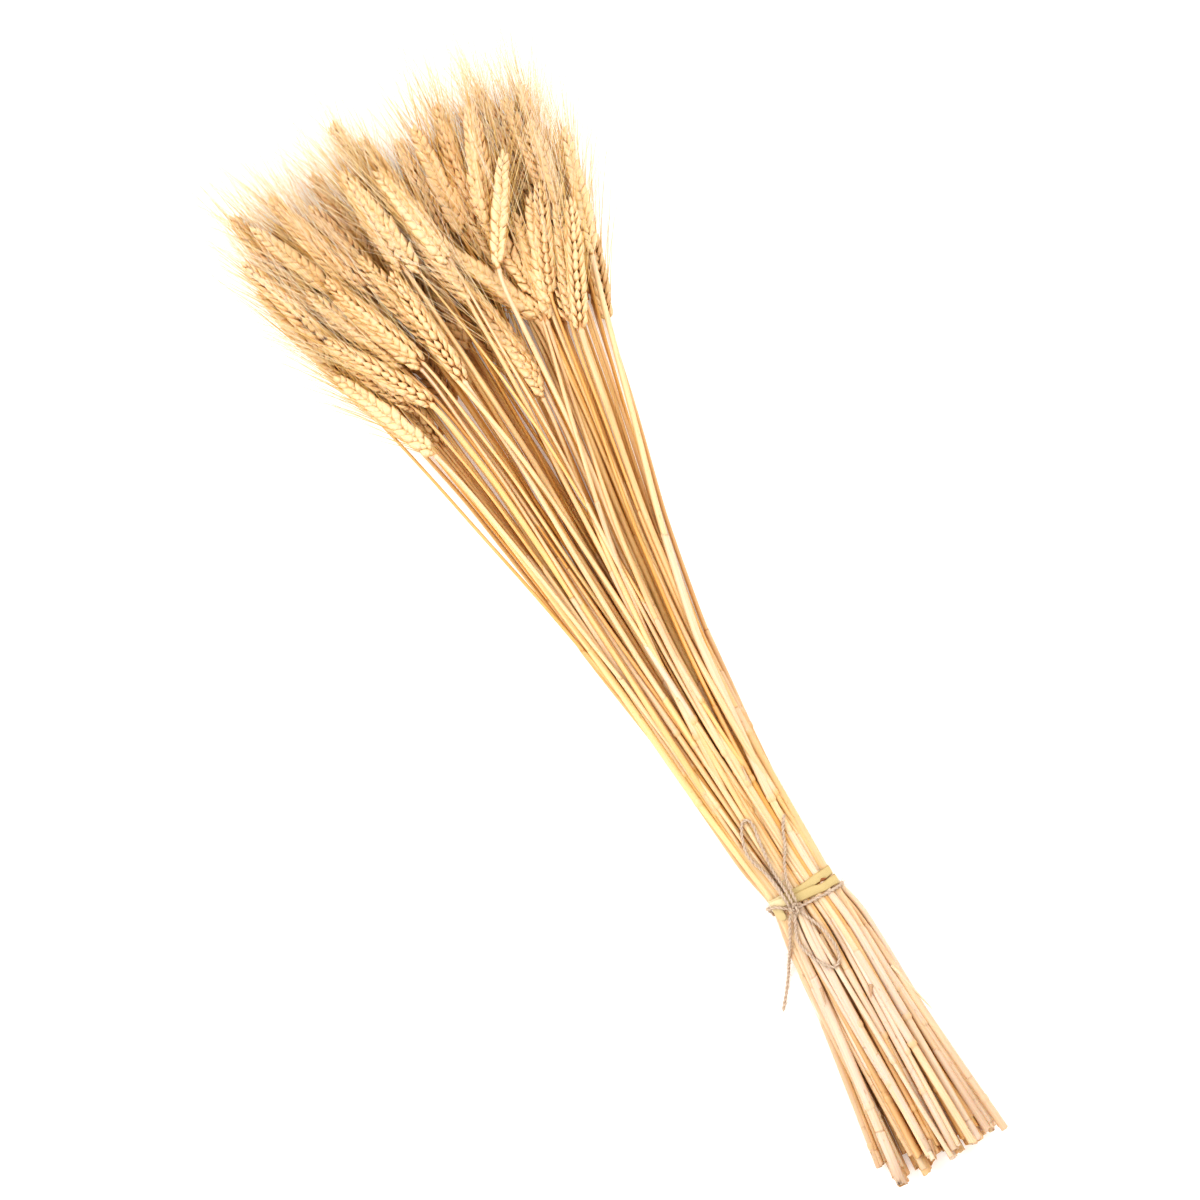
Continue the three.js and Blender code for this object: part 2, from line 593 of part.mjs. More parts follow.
// A flat strip wrapped round the straws; it slants by slope as it crosses the bundle.
const wrapGeometry = ({ middle, slope, inner, outer }) => {
  const edge = STRIP_WIDTH / 2 + Math.abs(slope) * STRIP_STEEP;
  const outside = withFloor(reaches(middle - edge, middle + edge, outer), 0);
  const inside = withFloor(reaches(middle - edge, middle + edge, inner), STRIP_UNDER);
  const shape = new THREE.Shape(cornersOf(outside));
  shape.holes.push(new THREE.Path(cornersOf(inside)));
  const geometry = new THREE.ExtrudeGeometry(shape, { depth: STRIP_WIDTH, bevelEnabled: false });
  geometry.rotateX(Math.PI / 2);
  const spots = geometry.attributes.position;
  for (let i = 0; i < spots.count; i++) {
    spots.setY(i, spots.getY(i) + STRIP_WIDTH / 2 + middle + slope * spots.getX(i));
  }
  return geometry;
};

const bandMesh = () => {
  const wraps = WRAPS.map((wrap) => solidOf(wrapGeometry(wrap)));
  return named('straw_band', geometryOf(joined(wraps)), bandLook);
};

// The twine's turn round the straws: a ring bent onto their outline.
const RING_RADIUS = 10;            // before it is bent

const twineTurn = (reach) => {
  const corners = cornersOf(reach);
  const centre = corners.reduce((sum, one) => sum.add(one), new THREE.Vector2())
    .divideScalar(OUTLINE_SIDES);
  const geometry = new THREE.TorusGeometry(RING_RADIUS, TWINE_RADIUS, TWINE_SIDES, OUTLINE_SIDES);
  const spots = geometry.attributes.position;
  for (let i = 0; i < spots.count; i++) {
    const corner = corners[i % (OUTLINE_SIDES + 1) % OUTLINE_SIDES];
    const out = corner.clone().sub(centre).normalize();
    const fromCore = Math.hypot(spots.getX(i), spots.getY(i)) - RING_RADIUS;
    const lengthways = TWINE_MIDDLE + TWINE_SLOPE * corner.x - spots.getZ(i);
    spots.setXYZ(i, corner.x + out.x * fromCore, lengthways, corner.y + out.y * fromCore);
  }
  return geometry;
};

const LEVEL = 0.01;                // a side of the outline that faces less upwards isn't its top

// How high the outline stands at one place across the bundle.
const topAt = (reach, x) => Math.min(...reach.map((far, side) => {
  const turn = side * 2 * Math.PI / OUTLINE_SIDES;
  return Math.sin(turn) > LEVEL ? (far - x * Math.cos(turn)) / Math.sin(turn) : Infinity;
}));

const twineTieMesh = () => {
  const half = 2 * TWINE_RADIUS;
  const reach = reaches(TWINE_MIDDLE - half, TWINE_MIDDLE + half, TWINE_GAP + TWINE_RADIUS);
  const [across, lengthways] = KNOT_PLACE;
  const knot = new THREE.IcosahedronGeometry(1, 1);
  knot.scale(...KNOT_SIZE);
  knot.translate(across, lengthways, topAt(reach, across) + KNOT_LIFT);
  const whole = joined([solidOf(twineTurn(reach)), solidOf(knot)]);
  return named('twine_tie', geometryOf(whole), twineLook);
};

// A free stretch of twine: a round cord along its route.
const cordMesh = (name, route) => {
  const path = new THREE.CatmullRomCurve3(route.map((spot) => new THREE.Vector3(...spot)));
  const turns = Array.from({ length: CORD_SIDES }, (_, side) => side * 2 * Math.PI / CORD_SIDES);
  const shape = new THREE.Shape(turns.map((turn) => new THREE.Vector2(
    TWINE_RADIUS * Math.cos(turn),
    TWINE_RADIUS * Math.sin(turn),
  )));
  const steps = Math.round(path.getLength() / CORD_STEP);
  const cord = new THREE.ExtrudeGeometry(shape, { steps, bevelEnabled: false, extrudePath: path });
  return named(name, cord, twineLook);
};

const bundle = new THREE.Group();
const stalks = growStalks();
stalks.forEach((stalk) => bundle.add(stalkMesh(stalk)));
bundle.add(bandMesh());
bundle.add(twineTieMesh());

// So far the origin is under the tie. It moves to the table under the middle of the bundle.
const box = new THREE.Box3().setFromObject(bundle);
const middle = box.getCenter(new THREE.Vector3());
bundle.position.set(-middle.x, -middle.y, -box.min.z);

bundle.add(cordMesh('twine_loop_upper', LOOP_UPPER));
bundle.add(cordMesh('twine_end_upper', END_UPPER));
bundle.add(cordMesh('twine_loop_lower', LOOP_LOWER));
bundle.add(cordMesh('twine_end_lower', END_LOWER));

export default bundle;
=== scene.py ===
# %% [markdown]
# # A bundle of dried wheat
#
# This is a lesson in cells. It dresses a plain solid model of a tied bundle of bearded wheat: forty stalks
# with their ears, a band of flat straw round them, and a jute twine tied in a bow. It also adds stalks
# between the forty, because the real bundle is denser than a light solid model can be.
# The solid model is loaded first and never moves. It says where every straw runs, where every ear starts,
# and where the band and the twine lie. Each cell below makes one kind of piece round it, in metres, with
# X across the bundle, Y along it towards the ears and Z up from the table.

# %% Load the solid model
import math

import bpy
import numpy as np
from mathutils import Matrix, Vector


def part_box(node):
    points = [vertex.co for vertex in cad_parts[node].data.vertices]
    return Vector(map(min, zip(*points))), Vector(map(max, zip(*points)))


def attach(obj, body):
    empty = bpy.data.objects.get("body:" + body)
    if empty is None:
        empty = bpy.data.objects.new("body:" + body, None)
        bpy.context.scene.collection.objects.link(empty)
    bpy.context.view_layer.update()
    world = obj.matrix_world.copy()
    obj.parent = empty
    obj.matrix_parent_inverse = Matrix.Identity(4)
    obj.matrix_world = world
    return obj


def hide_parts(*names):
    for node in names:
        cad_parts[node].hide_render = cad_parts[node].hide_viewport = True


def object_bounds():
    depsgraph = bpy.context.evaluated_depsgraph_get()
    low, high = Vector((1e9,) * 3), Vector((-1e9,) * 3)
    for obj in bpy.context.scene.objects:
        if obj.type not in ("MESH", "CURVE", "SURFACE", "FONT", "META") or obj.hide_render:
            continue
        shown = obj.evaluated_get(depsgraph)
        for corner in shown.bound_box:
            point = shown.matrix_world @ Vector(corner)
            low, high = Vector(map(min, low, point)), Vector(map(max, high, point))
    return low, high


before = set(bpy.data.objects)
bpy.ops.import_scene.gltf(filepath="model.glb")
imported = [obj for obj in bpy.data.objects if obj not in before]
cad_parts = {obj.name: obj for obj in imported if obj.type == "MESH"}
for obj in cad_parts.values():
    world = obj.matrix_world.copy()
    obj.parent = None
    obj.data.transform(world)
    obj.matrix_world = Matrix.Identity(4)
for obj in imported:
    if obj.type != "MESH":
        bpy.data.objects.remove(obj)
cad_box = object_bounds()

MM = 0.001
print("solid nodes", len(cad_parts), "box", [tuple(round(v, 4) for v in corner) for corner in cad_box])

# %% [markdown]
# ## Where the straws run
#
# Every straw of the solid model is a five-sided tube. Its corners could be typed in again by hand, but
# reading them keeps both models together when one changes. Five corners at one height along the bundle,
# all equally far from their middle, are a ring of the tube, and its middle is a point of the straw's line.
# The last wide ring is the ear's base, and the thin ring above it is where the ear ends.

# %% Rings of a straw's tube
SIDES_OF_TUBE = 5
DECIMALS = 6
SAME_HEIGHT = 5e-6
WIDEST_RING = 3 * MM
LID_MIDDLE = 0.05 * MM
UNEVEN = 0.03


def rings_of(node):
    """Middle and radius of each ring of a tube, from the cut end to the ear: rows of x, y, z, radius."""
    spots = np.unique(np.round([v.co for v in node.data.vertices], DECIMALS), axis=0)
    spots = spots[np.argsort(spots[:, 1])]
    breaks = np.where(np.diff(spots[:, 1]) > SAME_HEIGHT)[0] + 1
    rings = []
    for group in np.split(spots, breaks):
        middle = group.mean(0)
        radii = np.hypot(group[:, 0] - middle[0], group[:, 2] - middle[2])
        corners = radii[radii > LID_MIDDLE]
        if len(corners) != SIDES_OF_TUBE:
            continue
        if corners.max() < WIDEST_RING and np.ptp(corners) < UNEVEN * corners.mean():
            rings.append([*middle, corners.mean()])
    return np.array(rings)


stalk_names = sorted(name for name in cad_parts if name.startswith("stalk_"))
stalk_rings = {name: rings_of(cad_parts[name]) for name in stalk_names}
print("rings of the first straws", [len(stalk_rings[name]) for name in stalk_names[:8]])

# %% [markdown]
# ## The middle of the tie
#
# The band and the twine are placed from the middle of the tie. All straws have a ring there, at the same
# height along the bundle, so it is the height nearest the band that every straw shares.

# %% Find the tie
NEAR_BAND = 12 * MM
band_low, band_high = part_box("straw_band")
heights = np.concatenate([rings[:, 1] for rings in stalk_rings.values()])
near_band = np.unique(np.round(heights[np.abs(heights - (band_low.y + band_high.y) / 2) < NEAR_BAND], 5))
tie_y = float(np.mean(near_band))
at_tie = np.array([rings[np.argmin(np.abs(rings[:, 1] - tie_y))] for rings in stalk_rings.values()])
TIE = np.array([at_tie[:, 0].mean(), tie_y, 0.0])
print("middle of the tie", TIE.round(4), "from", len(near_band), "shared height")

# %% [markdown]
# ## Camera, light and table
#
# The bundle lies flat and is looked at straight from above, turned so that the ears point to the upper
# left. A long lens keeps the straws parallel. The table is white and the sky nearly so, which gives the
# soft, nearly shadowless light of a packshot, and two wide lamps add a little direction.

# %% Camera
LENS = 100
SENSOR = 36
SEEN_WIDTH = 600 * MM
FRAME_MIDDLE = TIE + np.array([-15.3, 177.4, 18]) * MM
TURN = -30
camera_data = bpy.data.cameras.new("camera")
camera_data.lens = LENS
camera_data.sensor_width = SENSOR
camera = bpy.data.objects.new("camera", camera_data)
camera.location = FRAME_MIDDLE + np.array([0, 0, SEEN_WIDTH * LENS / SENSOR])
camera.rotation_euler = (0, 0, math.radians(TURN))
bpy.context.scene.collection.objects.link(camera)
bpy.context.scene.camera = camera
print("camera height", round(camera.location.z, 3))

# %% Light
SKY = 0.83
SKY_COLOUR = (1.0, 0.96, 0.91, 1)
LAMPS = {"softbox_right": ((0.8, 0.7, 1.6), 8.5), "softbox_left": ((-0.9, 0.6, 1.3), 7.5)}
LAMP_SIZE = 0.9
world = bpy.data.worlds.new("studio")
world.use_nodes = True
world.node_tree.nodes["Background"].inputs["Color"].default_value = SKY_COLOUR
world.node_tree.nodes["Background"].inputs["Strength"].default_value = SKY
bpy.context.scene.world = world
for lamp_name, (place, power) in LAMPS.items():
    lamp_data = bpy.data.lights.new(lamp_name, "AREA")
    lamp_data.size = LAMP_SIZE
    lamp_data.energy = power
    lamp = bpy.data.objects.new(lamp_name, lamp_data)
    lamp.location = place
    aim = -lamp.location
    lamp.rotation_euler = aim.to_track_quat("-Z", "Y").to_euler()
    bpy.context.scene.collection.objects.link(lamp)
bpy.context.scene.view_settings.view_transform = "Standard"
bpy.context.scene.view_settings.look = "High Contrast"
print("sky", SKY, "lamps", list(LAMPS))

# %% [markdown]
# ## Arithmetic on sockets
#
# Materials and Geometry Nodes both need sums such as 1 - mask. Written as nodes and links they take ten
# lines each. So one small class wraps a socket, and Python's own operators on it add the Math nodes.
# Another class wraps a whole tree and adds any other node from its type, its settings and its values.

# %% A socket and a tree
class Value:
    """The output of a node, which Python's operators can work with."""

    def __init__(self, graph, socket):
        self.graph = graph
        self.socket = socket

    def math(self, operation, *others):
        return self.graph.add("ShaderNodeMath", {"operation": operation}, [self, *others])

    def other(self, name):
        return Value(self.graph, self.socket.node.outputs[name])

    def __add__(self, other):
        return self.math("ADD", other)

    def __sub__(self, other):
        return self.math("SUBTRACT", other)

    def __rsub__(self, other):
        return self.graph.add("ShaderNodeMath", {"operation": "SUBTRACT"}, [other, self])

    def __mul__(self, other):
        return self.math("MULTIPLY", other)

    def __truediv__(self, other):
        return self.math("DIVIDE", other)

    def __pow__(self, other):
        return self.math("POWER", other)

    __radd__ = __add__
    __rmul__ = __mul__


class Graph:
    """A node tree, and one way to add any node to it."""

    def __init__(self, tree):
        self.tree = tree

    def add(self, kind, settings=None, values=(), out=0):
        node = self.tree.nodes.new(kind)
        for name, value in (settings or {}).items():
            setattr(node, name, value)
        pairs = values.items() if isinstance(values, dict) else enumerate(values)
        for place, value in pairs:
            if isinstance(value, Value):
                self.tree.links.new(value.socket, node.inputs[place])
            elif value is not None:
                node.inputs[place].default_value = value
        return Value(self, node.outputs[out])

    def mix(self, factor, low, high):
        """A colour that goes from low to high with the factor."""
        return self.add("ShaderNodeMix", {"data_type": "RGBA"}, {0: factor, 6: low, 7: high}, out=2)

    def ramp(self, value, low, high):
        """0 below low, 1 above high, and a straight way between them."""
        return self.add("ShaderNodeMapRange", None, {"Value": value, "From Min": low, "From Max": high})

    def vector(self, x=0.0, y=0.0, z=0.0):
        return self.add("ShaderNodeCombineXYZ", None, [x, y, z])


def srgb(red, green, blue):
    """A colour from its 0 to 255 screen values."""
    def linear(v):
        v = v / 255
        return v / 12.92 if v <= 0.04045 else ((v + 0.055) / 1.055) ** 2.4
    return (linear(red), linear(green), linear(blue), 1.0)


WHEAT_GOLD = (226, 176, 104)
print("wheat gold is", [round(v, 3) for v in srgb(*WHEAT_GOLD)])

# %% [markdown]
# ## A material from its parts
#
# Each finish below is a colour, a roughness and a height for the bump, all worked out over the surface.
# One helper connects them to the shader, so that each material's own cell holds only what makes it
# different. The patterns follow attributes stored on the meshes. All have three of them: grain, a place that
# runs along each straw or husk; tone, one random number for each piece; and mark, where the surface is
# brown or torn, which on husks and twine is also painted shade at edges, overlaps and in the groove.

# %% Connect a finish to its shader
GLOW_DEPTH = 1.2 * MM
GLOW_COLOURS = (1.0, 0.5, 0.2)


def finish(name, build, bump=0.1 * MM, specular=0.4, glow=0.0):
    """A material whose build function gives colour, roughness and height as values of its graph."""
    material = bpy.data.materials.new(name)
    material.use_nodes = True
    graph = Graph(material.node_tree)
    shader = material.node_tree.nodes["Principled BSDF"]
    shader.inputs["Specular IOR Level"].default_value = specular
    shader.inputs["Subsurface Weight"].default_value = glow
    shader.inputs["Subsurface Radius"].default_value = GLOW_COLOURS
    shader.inputs["Subsurface Scale"].default_value = GLOW_DEPTH
    colour, roughness, height = build(graph)
    links = material.node_tree.links
    links.new(colour.socket, shader.inputs["Base Color"])
    links.new(roughness.socket, shader.inputs["Roughness"])
    relief = graph.add("ShaderNodeBump", None, {"Distance": bump, "Height": height})
    links.new(relief.socket, shader.inputs["Normal"])
    return material


def attribute(graph, name, out="Fac"):
    """A value stored on the mesh."""
    return graph.add("ShaderNodeAttribute", {"attribute_name": name}, out=out)


def noise(graph, where, scale=1.0, detail=2.0, out="Fac"):
    """A cloudy pattern between 0 and 1."""
    return graph.add("ShaderNodeTexNoise", None, {"Vector": where, "Scale": scale, "Detail": detail}, out)


def stretched(graph, x, y, z):
    """The grain attribute with its three directions scaled."""
    grain = attribute(graph, "grain", "Vector")
    return graph.add("ShaderNodeVectorMath", {"operation": "MULTIPLY"}, [grain, (x, y, z)])


# %% [markdown]
# ## Straw, husks and awns: their finish
#
# Ripe straw is never one colour. Its leaf sheath is pale cream, the bare stem above it is golden, and both
# carry fine lines along the grain with a few brown freckles. Husks are creamier and ribbed, with browner
# tips, and painted shade browns their edges and the lower part that the husk below covers. Awns are pale and
# slightly glossy, like bristles. What lies deep in the heap, and the sides and undersides of the straws, are
# painted more golden as shade, for the light that reaches them through the rest. A picture of straw would be
# the quick way, but stretched noise gives every stalk its own streaks and stays sharp at any distance.

# %% Straw material
def straw_finish(graph):
    ripe = attribute(graph, "ripe")
    tone = attribute(graph, "tone")
    mark = attribute(graph, "mark")
    joint = attribute(graph, "joint")
    bleached = attribute(graph, "bleached")
    hidden = attribute(graph, "hidden")
    lines = noise(graph, stretched(graph, 2600, 2600, 22), detail=3)
    clouds = noise(graph, stretched(graph, 300, 300, 30), detail=2)
    freckles = graph.ramp(noise(graph, stretched(graph, 900, 900, 260), detail=1), 0.70, 0.77)
    pale = graph.mix(tone, srgb(223, 207, 192), srgb(213, 183, 152))
    golden = graph.mix(tone, srgb(240, 212, 148), srgb(211, 153, 56))
    colour = graph.mix(ripe, pale, golden)
    colour = graph.mix(graph.ramp(lines, 0.45, 0.75) * 0.4, colour, srgb(200, 150, 90))
    colour = graph.mix(graph.ramp(clouds, 0.5, 0.8) * 0.35, colour, srgb(250, 230, 190))
    colour = graph.mix(freckles * 0.35, colour, srgb(150, 98, 48))
    colour = graph.mix(joint, colour, srgb(222, 190, 140))
    colour = graph.mix(bleached * 0.8, colour, srgb(246, 238, 226))
    # Painted shade: golden brown on the sides and undersides of the straws, most inside the bundle, and in
    # the hollow and the ear.
    colour = graph.mix(hidden, colour, graph.mix(ripe, srgb(231, 184, 128), srgb(214, 150, 54)))
    colour = graph.mix(mark, colour, srgb(142, 88, 38))
    roughness = graph.ramp(lines, 0.2, 0.8) * 0.2 + 0.3
    return colour, roughness, lines


straw = finish("straw", straw_finish, bump=0.12 * MM, specular=0.75, glow=0.2)

# %% Husk material
def husk_finish(graph):
    tone = attribute(graph, "tone")
    ribs = noise(graph, stretched(graph, 2400, 2400, 120), detail=2)
    clouds = noise(graph, stretched(graph, 260, 260, 260), detail=2)
    edge = attribute(graph, "mark")
    deep = attribute(graph, "deep")
    colour = graph.mix(tone, srgb(250, 239, 220), srgb(224, 182, 108))
    colour = graph.mix(graph.ramp(ribs, 0.45, 0.75) * 0.35, colour, srgb(226, 184, 116))
    colour = graph.mix(graph.ramp(clouds, 0.5, 0.8) * 0.4, colour, srgb(252, 242, 226))
    # Painted shade at the husk's edges and over its covered lower part, and a browner tip.
    colour = graph.mix(edge * 0.75, colour, srgb(204, 142, 52))
    # Painted shade: husks low and deep in the heap are more golden.
    colour = graph.mix(deep * 0.45, colour, srgb(226, 168, 78))
    roughness = graph.ramp(ribs, 0.2, 0.8) * 0.2 + 0.45
    return colour, roughness, ribs


husk = finish("husk", husk_finish, bump=0.15 * MM, glow=0.3)

# %% Awn material
def awn_finish(graph):
    tone = attribute(graph, "tone")
    root = attribute(graph, "mark")
    deep = attribute(graph, "deep")
    streak = noise(graph, stretched(graph, 300, 300, 60), detail=1)
    body = graph.mix(tone, srgb(250, 226, 172), srgb(236, 192, 118))
    colour = graph.mix(root ** 0.45, srgb(254, 246, 232), body)
    # Golden towards the root, partly the awn's own colour and partly painted shade among the husks.
    colour = graph.mix(root * 0.7, colour, srgb(212, 156, 74))
    colour = graph.mix(graph.ramp(streak, 0.5, 0.8) * 0.3, colour, srgb(253, 238, 208))
    # Painted shade: awns low and deep in the heap are more golden.
    colour = graph.mix(deep * 0.6, colour, srgb(226, 168, 78))
    roughness = streak * 0.2 + 0.3
    return colour, roughness, streak


awn = finish("awn", awn_finish, bump=0.02 * MM, glow=0.3)
print("materials", straw.name, husk.name, awn.name)

# %% [markdown]
# ## Lines to build along
#
# A straw bends a little at a few places. The solid model has corners there, and the real straw has smooth
# bends, so the line is stepped finely and blurred along itself. A path also carries its own axes at every
# place, sideways and up, so that anything modelled upright along Z can be bent onto it.

# %% A smooth path
def smoothed(points, step, blur):
    """Evenly spaced spots along a broken line, with its bends rounded off."""
    points = np.asarray(points)
    reach = np.r_[0, np.cumsum(np.linalg.norm(np.diff(points, axis=0), axis=1))]
    places = np.linspace(0, reach[-1], int(reach[-1] / step) + 1)
    spots = np.stack([np.interp(places, reach, points[:, axis]) for axis in range(3)], 1)
    half = int(3 * blur / step)
    weights = np.exp(-0.5 * (np.arange(-half, half + 1) * step / blur) ** 2)
    before = 2 * spots[0] - spots[half:0:-1]
    after = 2 * spots[-1] - spots[-2:-half - 2:-1]
    spots = np.concatenate([before, spots, after])
    return np.stack([np.convolve(spots[:, axis], weights / weights.sum(), "valid") for axis in range(3)], 1)


def unit(rows):
    """Vectors of the same directions with length one."""
    return rows / np.linalg.norm(rows, axis=-1, keepdims=True)


class Path:
    """A smooth line with its own axes at every place along it."""

    def __init__(self, spots):
        self.spots = np.asarray(spots)
        self.reach = np.r_[0, np.cumsum(np.linalg.norm(np.diff(self.spots, axis=0), axis=1))]
        self.length = self.reach[-1]
        self.ahead = unit(np.gradient(self.spots, axis=0))
        self.side = unit(np.cross([0, 0, 1], self.ahead))
        self.up = np.cross(self.ahead, self.side)

    def at(self, places):
        """Middle, side and up at places along the line."""
        def pick(rows):
            return np.stack([np.interp(places, self.reach, rows[:, axis]) for axis in range(3)], -1)
        return pick(self.spots), pick(self.side), pick(self.up)

    def bend(self, spots, start=0.0):
        """Spots modelled upright along Z, brought onto the line from start on."""
        middle, side, up = self.at(start + spots[..., 2])
        return middle + spots[..., :1] * side + spots[..., 1:2] * up


# %% [markdown]
# ## Skins over rings
#
# Straws, husks, awns and twine are all closed skins over a row of rings. A ring is a row of spots, each
# ring has as many spots as the next, and a single spot closes each end. Faces are given in the order that
# makes them look outwards.

# %% Rings to a closed mesh
def skin(rings, start, end):
    """Vertices and faces of a closed skin over rings that turn anticlockwise seen from the end."""
    count, sides = rings.shape[:2]
    spots = np.concatenate([[start], rings.reshape(-1, 3), [end]])
    ring = np.arange(sides)
    after = (ring + 1) % sides
    faces = [[0, 1 + after[j], 1 + ring[j]] for j in range(sides)]
    for i in range(count - 1):
        low = 1 + i * sides
        high = low + sides
        faces += [[low + j, low + k, high + k, high + j] for j, k in zip(ring, after)]
    last = 1 + (count - 1) * sides
    faces += [[len(spots) - 1, last + j, last + k] for j, k in zip(ring, after)]
    return spots, faces


def mesh_object(name, spots, faces, material, **attributes):
    """A smooth-shaded object in the scene. An attribute is one value, one for each spot, or a place each."""
    mesh = bpy.data.meshes.new(name)
    mesh.from_pydata(np.asarray(spots).tolist(), [], faces)
    mesh.materials.append(material)
    mesh.polygons.foreach_set("use_smooth", [True] * len(mesh.polygons))
    for key, values in attributes.items():
        values = np.asarray(values, dtype=float)
        if values.ndim == 2:
            mesh.attributes.new(key, "FLOAT_VECTOR", "POINT").data.foreach_set("vector", values.ravel())
        else:
            each = np.broadcast_to(values, len(mesh.vertices))
            mesh.attributes.new(key, "FLOAT", "POINT").data.foreach_set("value", each)
    thing = bpy.data.objects.new(name, mesh)
    bpy.context.scene.collection.objects.link(thing)
    return thing


def join(pieces, name):
    """One object from several, which keeps their materials and attributes."""
    with bpy.context.temp_override(active_object=pieces[0], selected_editable_objects=pieces):
        bpy.ops.object.join()
    pieces[0].name = name
    pieces[0].data.name = name
    return pieces[0]


# %% [markdown]
# ## The twine's route
#
# Two bows and two ends leave the knot and lie over the straws. A real cord has one length and can't
# stretch, so its route comes first and everything else follows it. The points are read off in millimetres
# from the middle of the tie, and a smooth curve runs through them.

# %% Routes of the four free stretches
LOOP_UPPER = [
    (-7.9, -2.1, 22.6), (-7.8, 1.6, 22.6), (-7.7, 5.2, 22.3), (-7.8, 9.0, 20.3), (-8.1, 13.0, 19.6),
    (-8.2, 18.0, 19.6), (-7.6, 25.8, 19.6), (-6.4, 34.9, 19.3), (-5.5, 41.2, 19.1), (-6.3, 45.0, 19.6),
    (-9.0, 45.6, 19.2), (-11.6, 42.4, 18.3), (-14.0, 36.5, 18.2), (-15.2, 30.5, 18.2),
    (-14.5, 25.5, 18.1), (-12.9, 20.5, 18.4), (-11.4, 15.5, 19.0), (-10.5, 10.0, 19.8),
    (-10.2, 5.4, 22.0), (-10.1, 1.6, 22.5), (-10.0, -2.1, 22.6),
]
END_UPPER = [
    (-5.8, -2.1, 22.6), (-5.6, 1.6, 22.6), (-5.3, 5.2, 22.3), (-4.6, 9.6, 20.2), (-2.8, 14.2, 19.6),
    (-0.5, 18.8, 19.3), (1.8, 22.3, 19.6), (3.8, 25.8, 19.6), (5.2, 29.2, 19.1), (6.6, 32.6, 19.6),
    (8.6, 35.8, 20.3), (10.8, 38.8, 20.9),
]
LOOP_LOWER = [
    (-6.2, -6.9, 21.8), (-5.0, -10.2, 21.4), (-3.4, -14.0, 22.2), (-2.0, -17.6, 23.0),
    (-0.8, -21.8, 23.5), (0.0, -26.0, 23.6), (0.3, -30.5, 23.4), (-0.4, -35.0, 23.2),
    (-2.4, -38.2, 22.8), (-5.2, -39.5, 22.8), (-7.6, -38.0, 23.3), (-9.6, -35.2, 23.4),
    (-12.0, -31.6, 22.2), (-13.8, -26.8, 20.9), (-14.8, -20.8, 20.0), (-13.4, -15.0, 20.1),
    (-11.2, -10.6, 20.4), (-9.3, -6.9, 21.4),
]
END_LOWER = [
    (-11.7, -6.2, 20.4), (-13.8, -9.6, 19.4), (-16.0, -13.8, 17.6), (-18.2, -18.0, 15.6),
    (-20.4, -21.9, 12.6), (-22.6, -25.6, 8.6), (-24.8, -29.4, 4.7), (-27.2, -33.4, 2.0),
    (-29.7, -37.0, 1.1), (-32.1, -40.2, 0.95), (-34.4, -43.1, 0.95), (-36.8, -46.0, 0.95),
    (-39.2, -48.9, 0.95),
]


def through(points, steps=8):
    """Spots on a smooth curve through points, with a few steps from each to the next."""
    points = np.asarray(points, dtype=float)
    ends = np.concatenate([[2 * points[0] - points[1]], points, [2 * points[-1] - points[-2]]])
    share = np.linspace(0, 1, steps, endpoint=False)[:, None]
    spots = []
    for p0, p1, p2, p3 in zip(ends, ends[1:], ends[2:], ends[3:]):
        spots.append(0.5 * (2 * p1 + (p2 - p0) * share + (2 * p0 - 5 * p1 + 4 * p2 - p3) * share ** 2
                            + (3 * p1 - p0 - 3 * p2 + p3) * share ** 3))
    return np.concatenate([*spots, [points[-1]]])


# %% [markdown]
# ## Jute twine
#
# Garden twine is two loose yarns of jute laid round each other. Two separate round tubes would be the exact
# way, but they cut through each other where they are pressed. One tube with a two-lobed section that turns
# as it goes gives the same deep spiral groove in one closed skin. Its grain runs along the yarns, and short
# hairs stand out of it.

# %% Twine material
def twine_finish(graph):
    groove = attribute(graph, "mark")
    fibres = noise(graph, stretched(graph, 1.0, 1.0, 1.0), detail=3)
    patches = noise(graph, stretched(graph, 0.16, 0.16, 0.05), detail=2)
    colour = graph.mix(graph.ramp(fibres, 0.3, 0.7), srgb(190, 168, 148), srgb(234, 218, 202))
    colour = graph.mix(graph.ramp(patches, 0.45, 0.75) * 0.4, colour, srgb(216, 192, 166))
    # Painted shade: darker in the groove between the two yarns and at the roots of the hairs.
    colour = graph.mix(groove * 0.58, colour, srgb(142, 117, 97))
    roughness = fibres * 0.1 + 0.82
    return colour, roughness, fibres


twine = finish("jute_twine", twine_finish, bump=0.25 * MM, specular=0.2)

# %% Twisted tube
TWINE = 1.7 * MM
YARN_OUT = 0.21 * TWINE
YARN_RADIUS = 0.30 * TWINE
LAY = 5.2 * MM
TWINE_SIDES = 16
TWINE_STEP = 0.55 * MM
END_SHARE = 0.35
UNEVEN_TWINE = 0.06
FIBRE_AROUND = 6.4
FIBRE_ALONG = 0.35


def twist_section(turn):
    """How far the two laid yarns reach from the twine's middle in a direction, and how deep the groove is."""
    toward = np.abs(np.cos(turn))
    across = np.sin(turn)
    reach = YARN_OUT * toward + np.sqrt(YARN_RADIUS ** 2 - (YARN_OUT * across) ** 2)
    return reach, 1 - toward


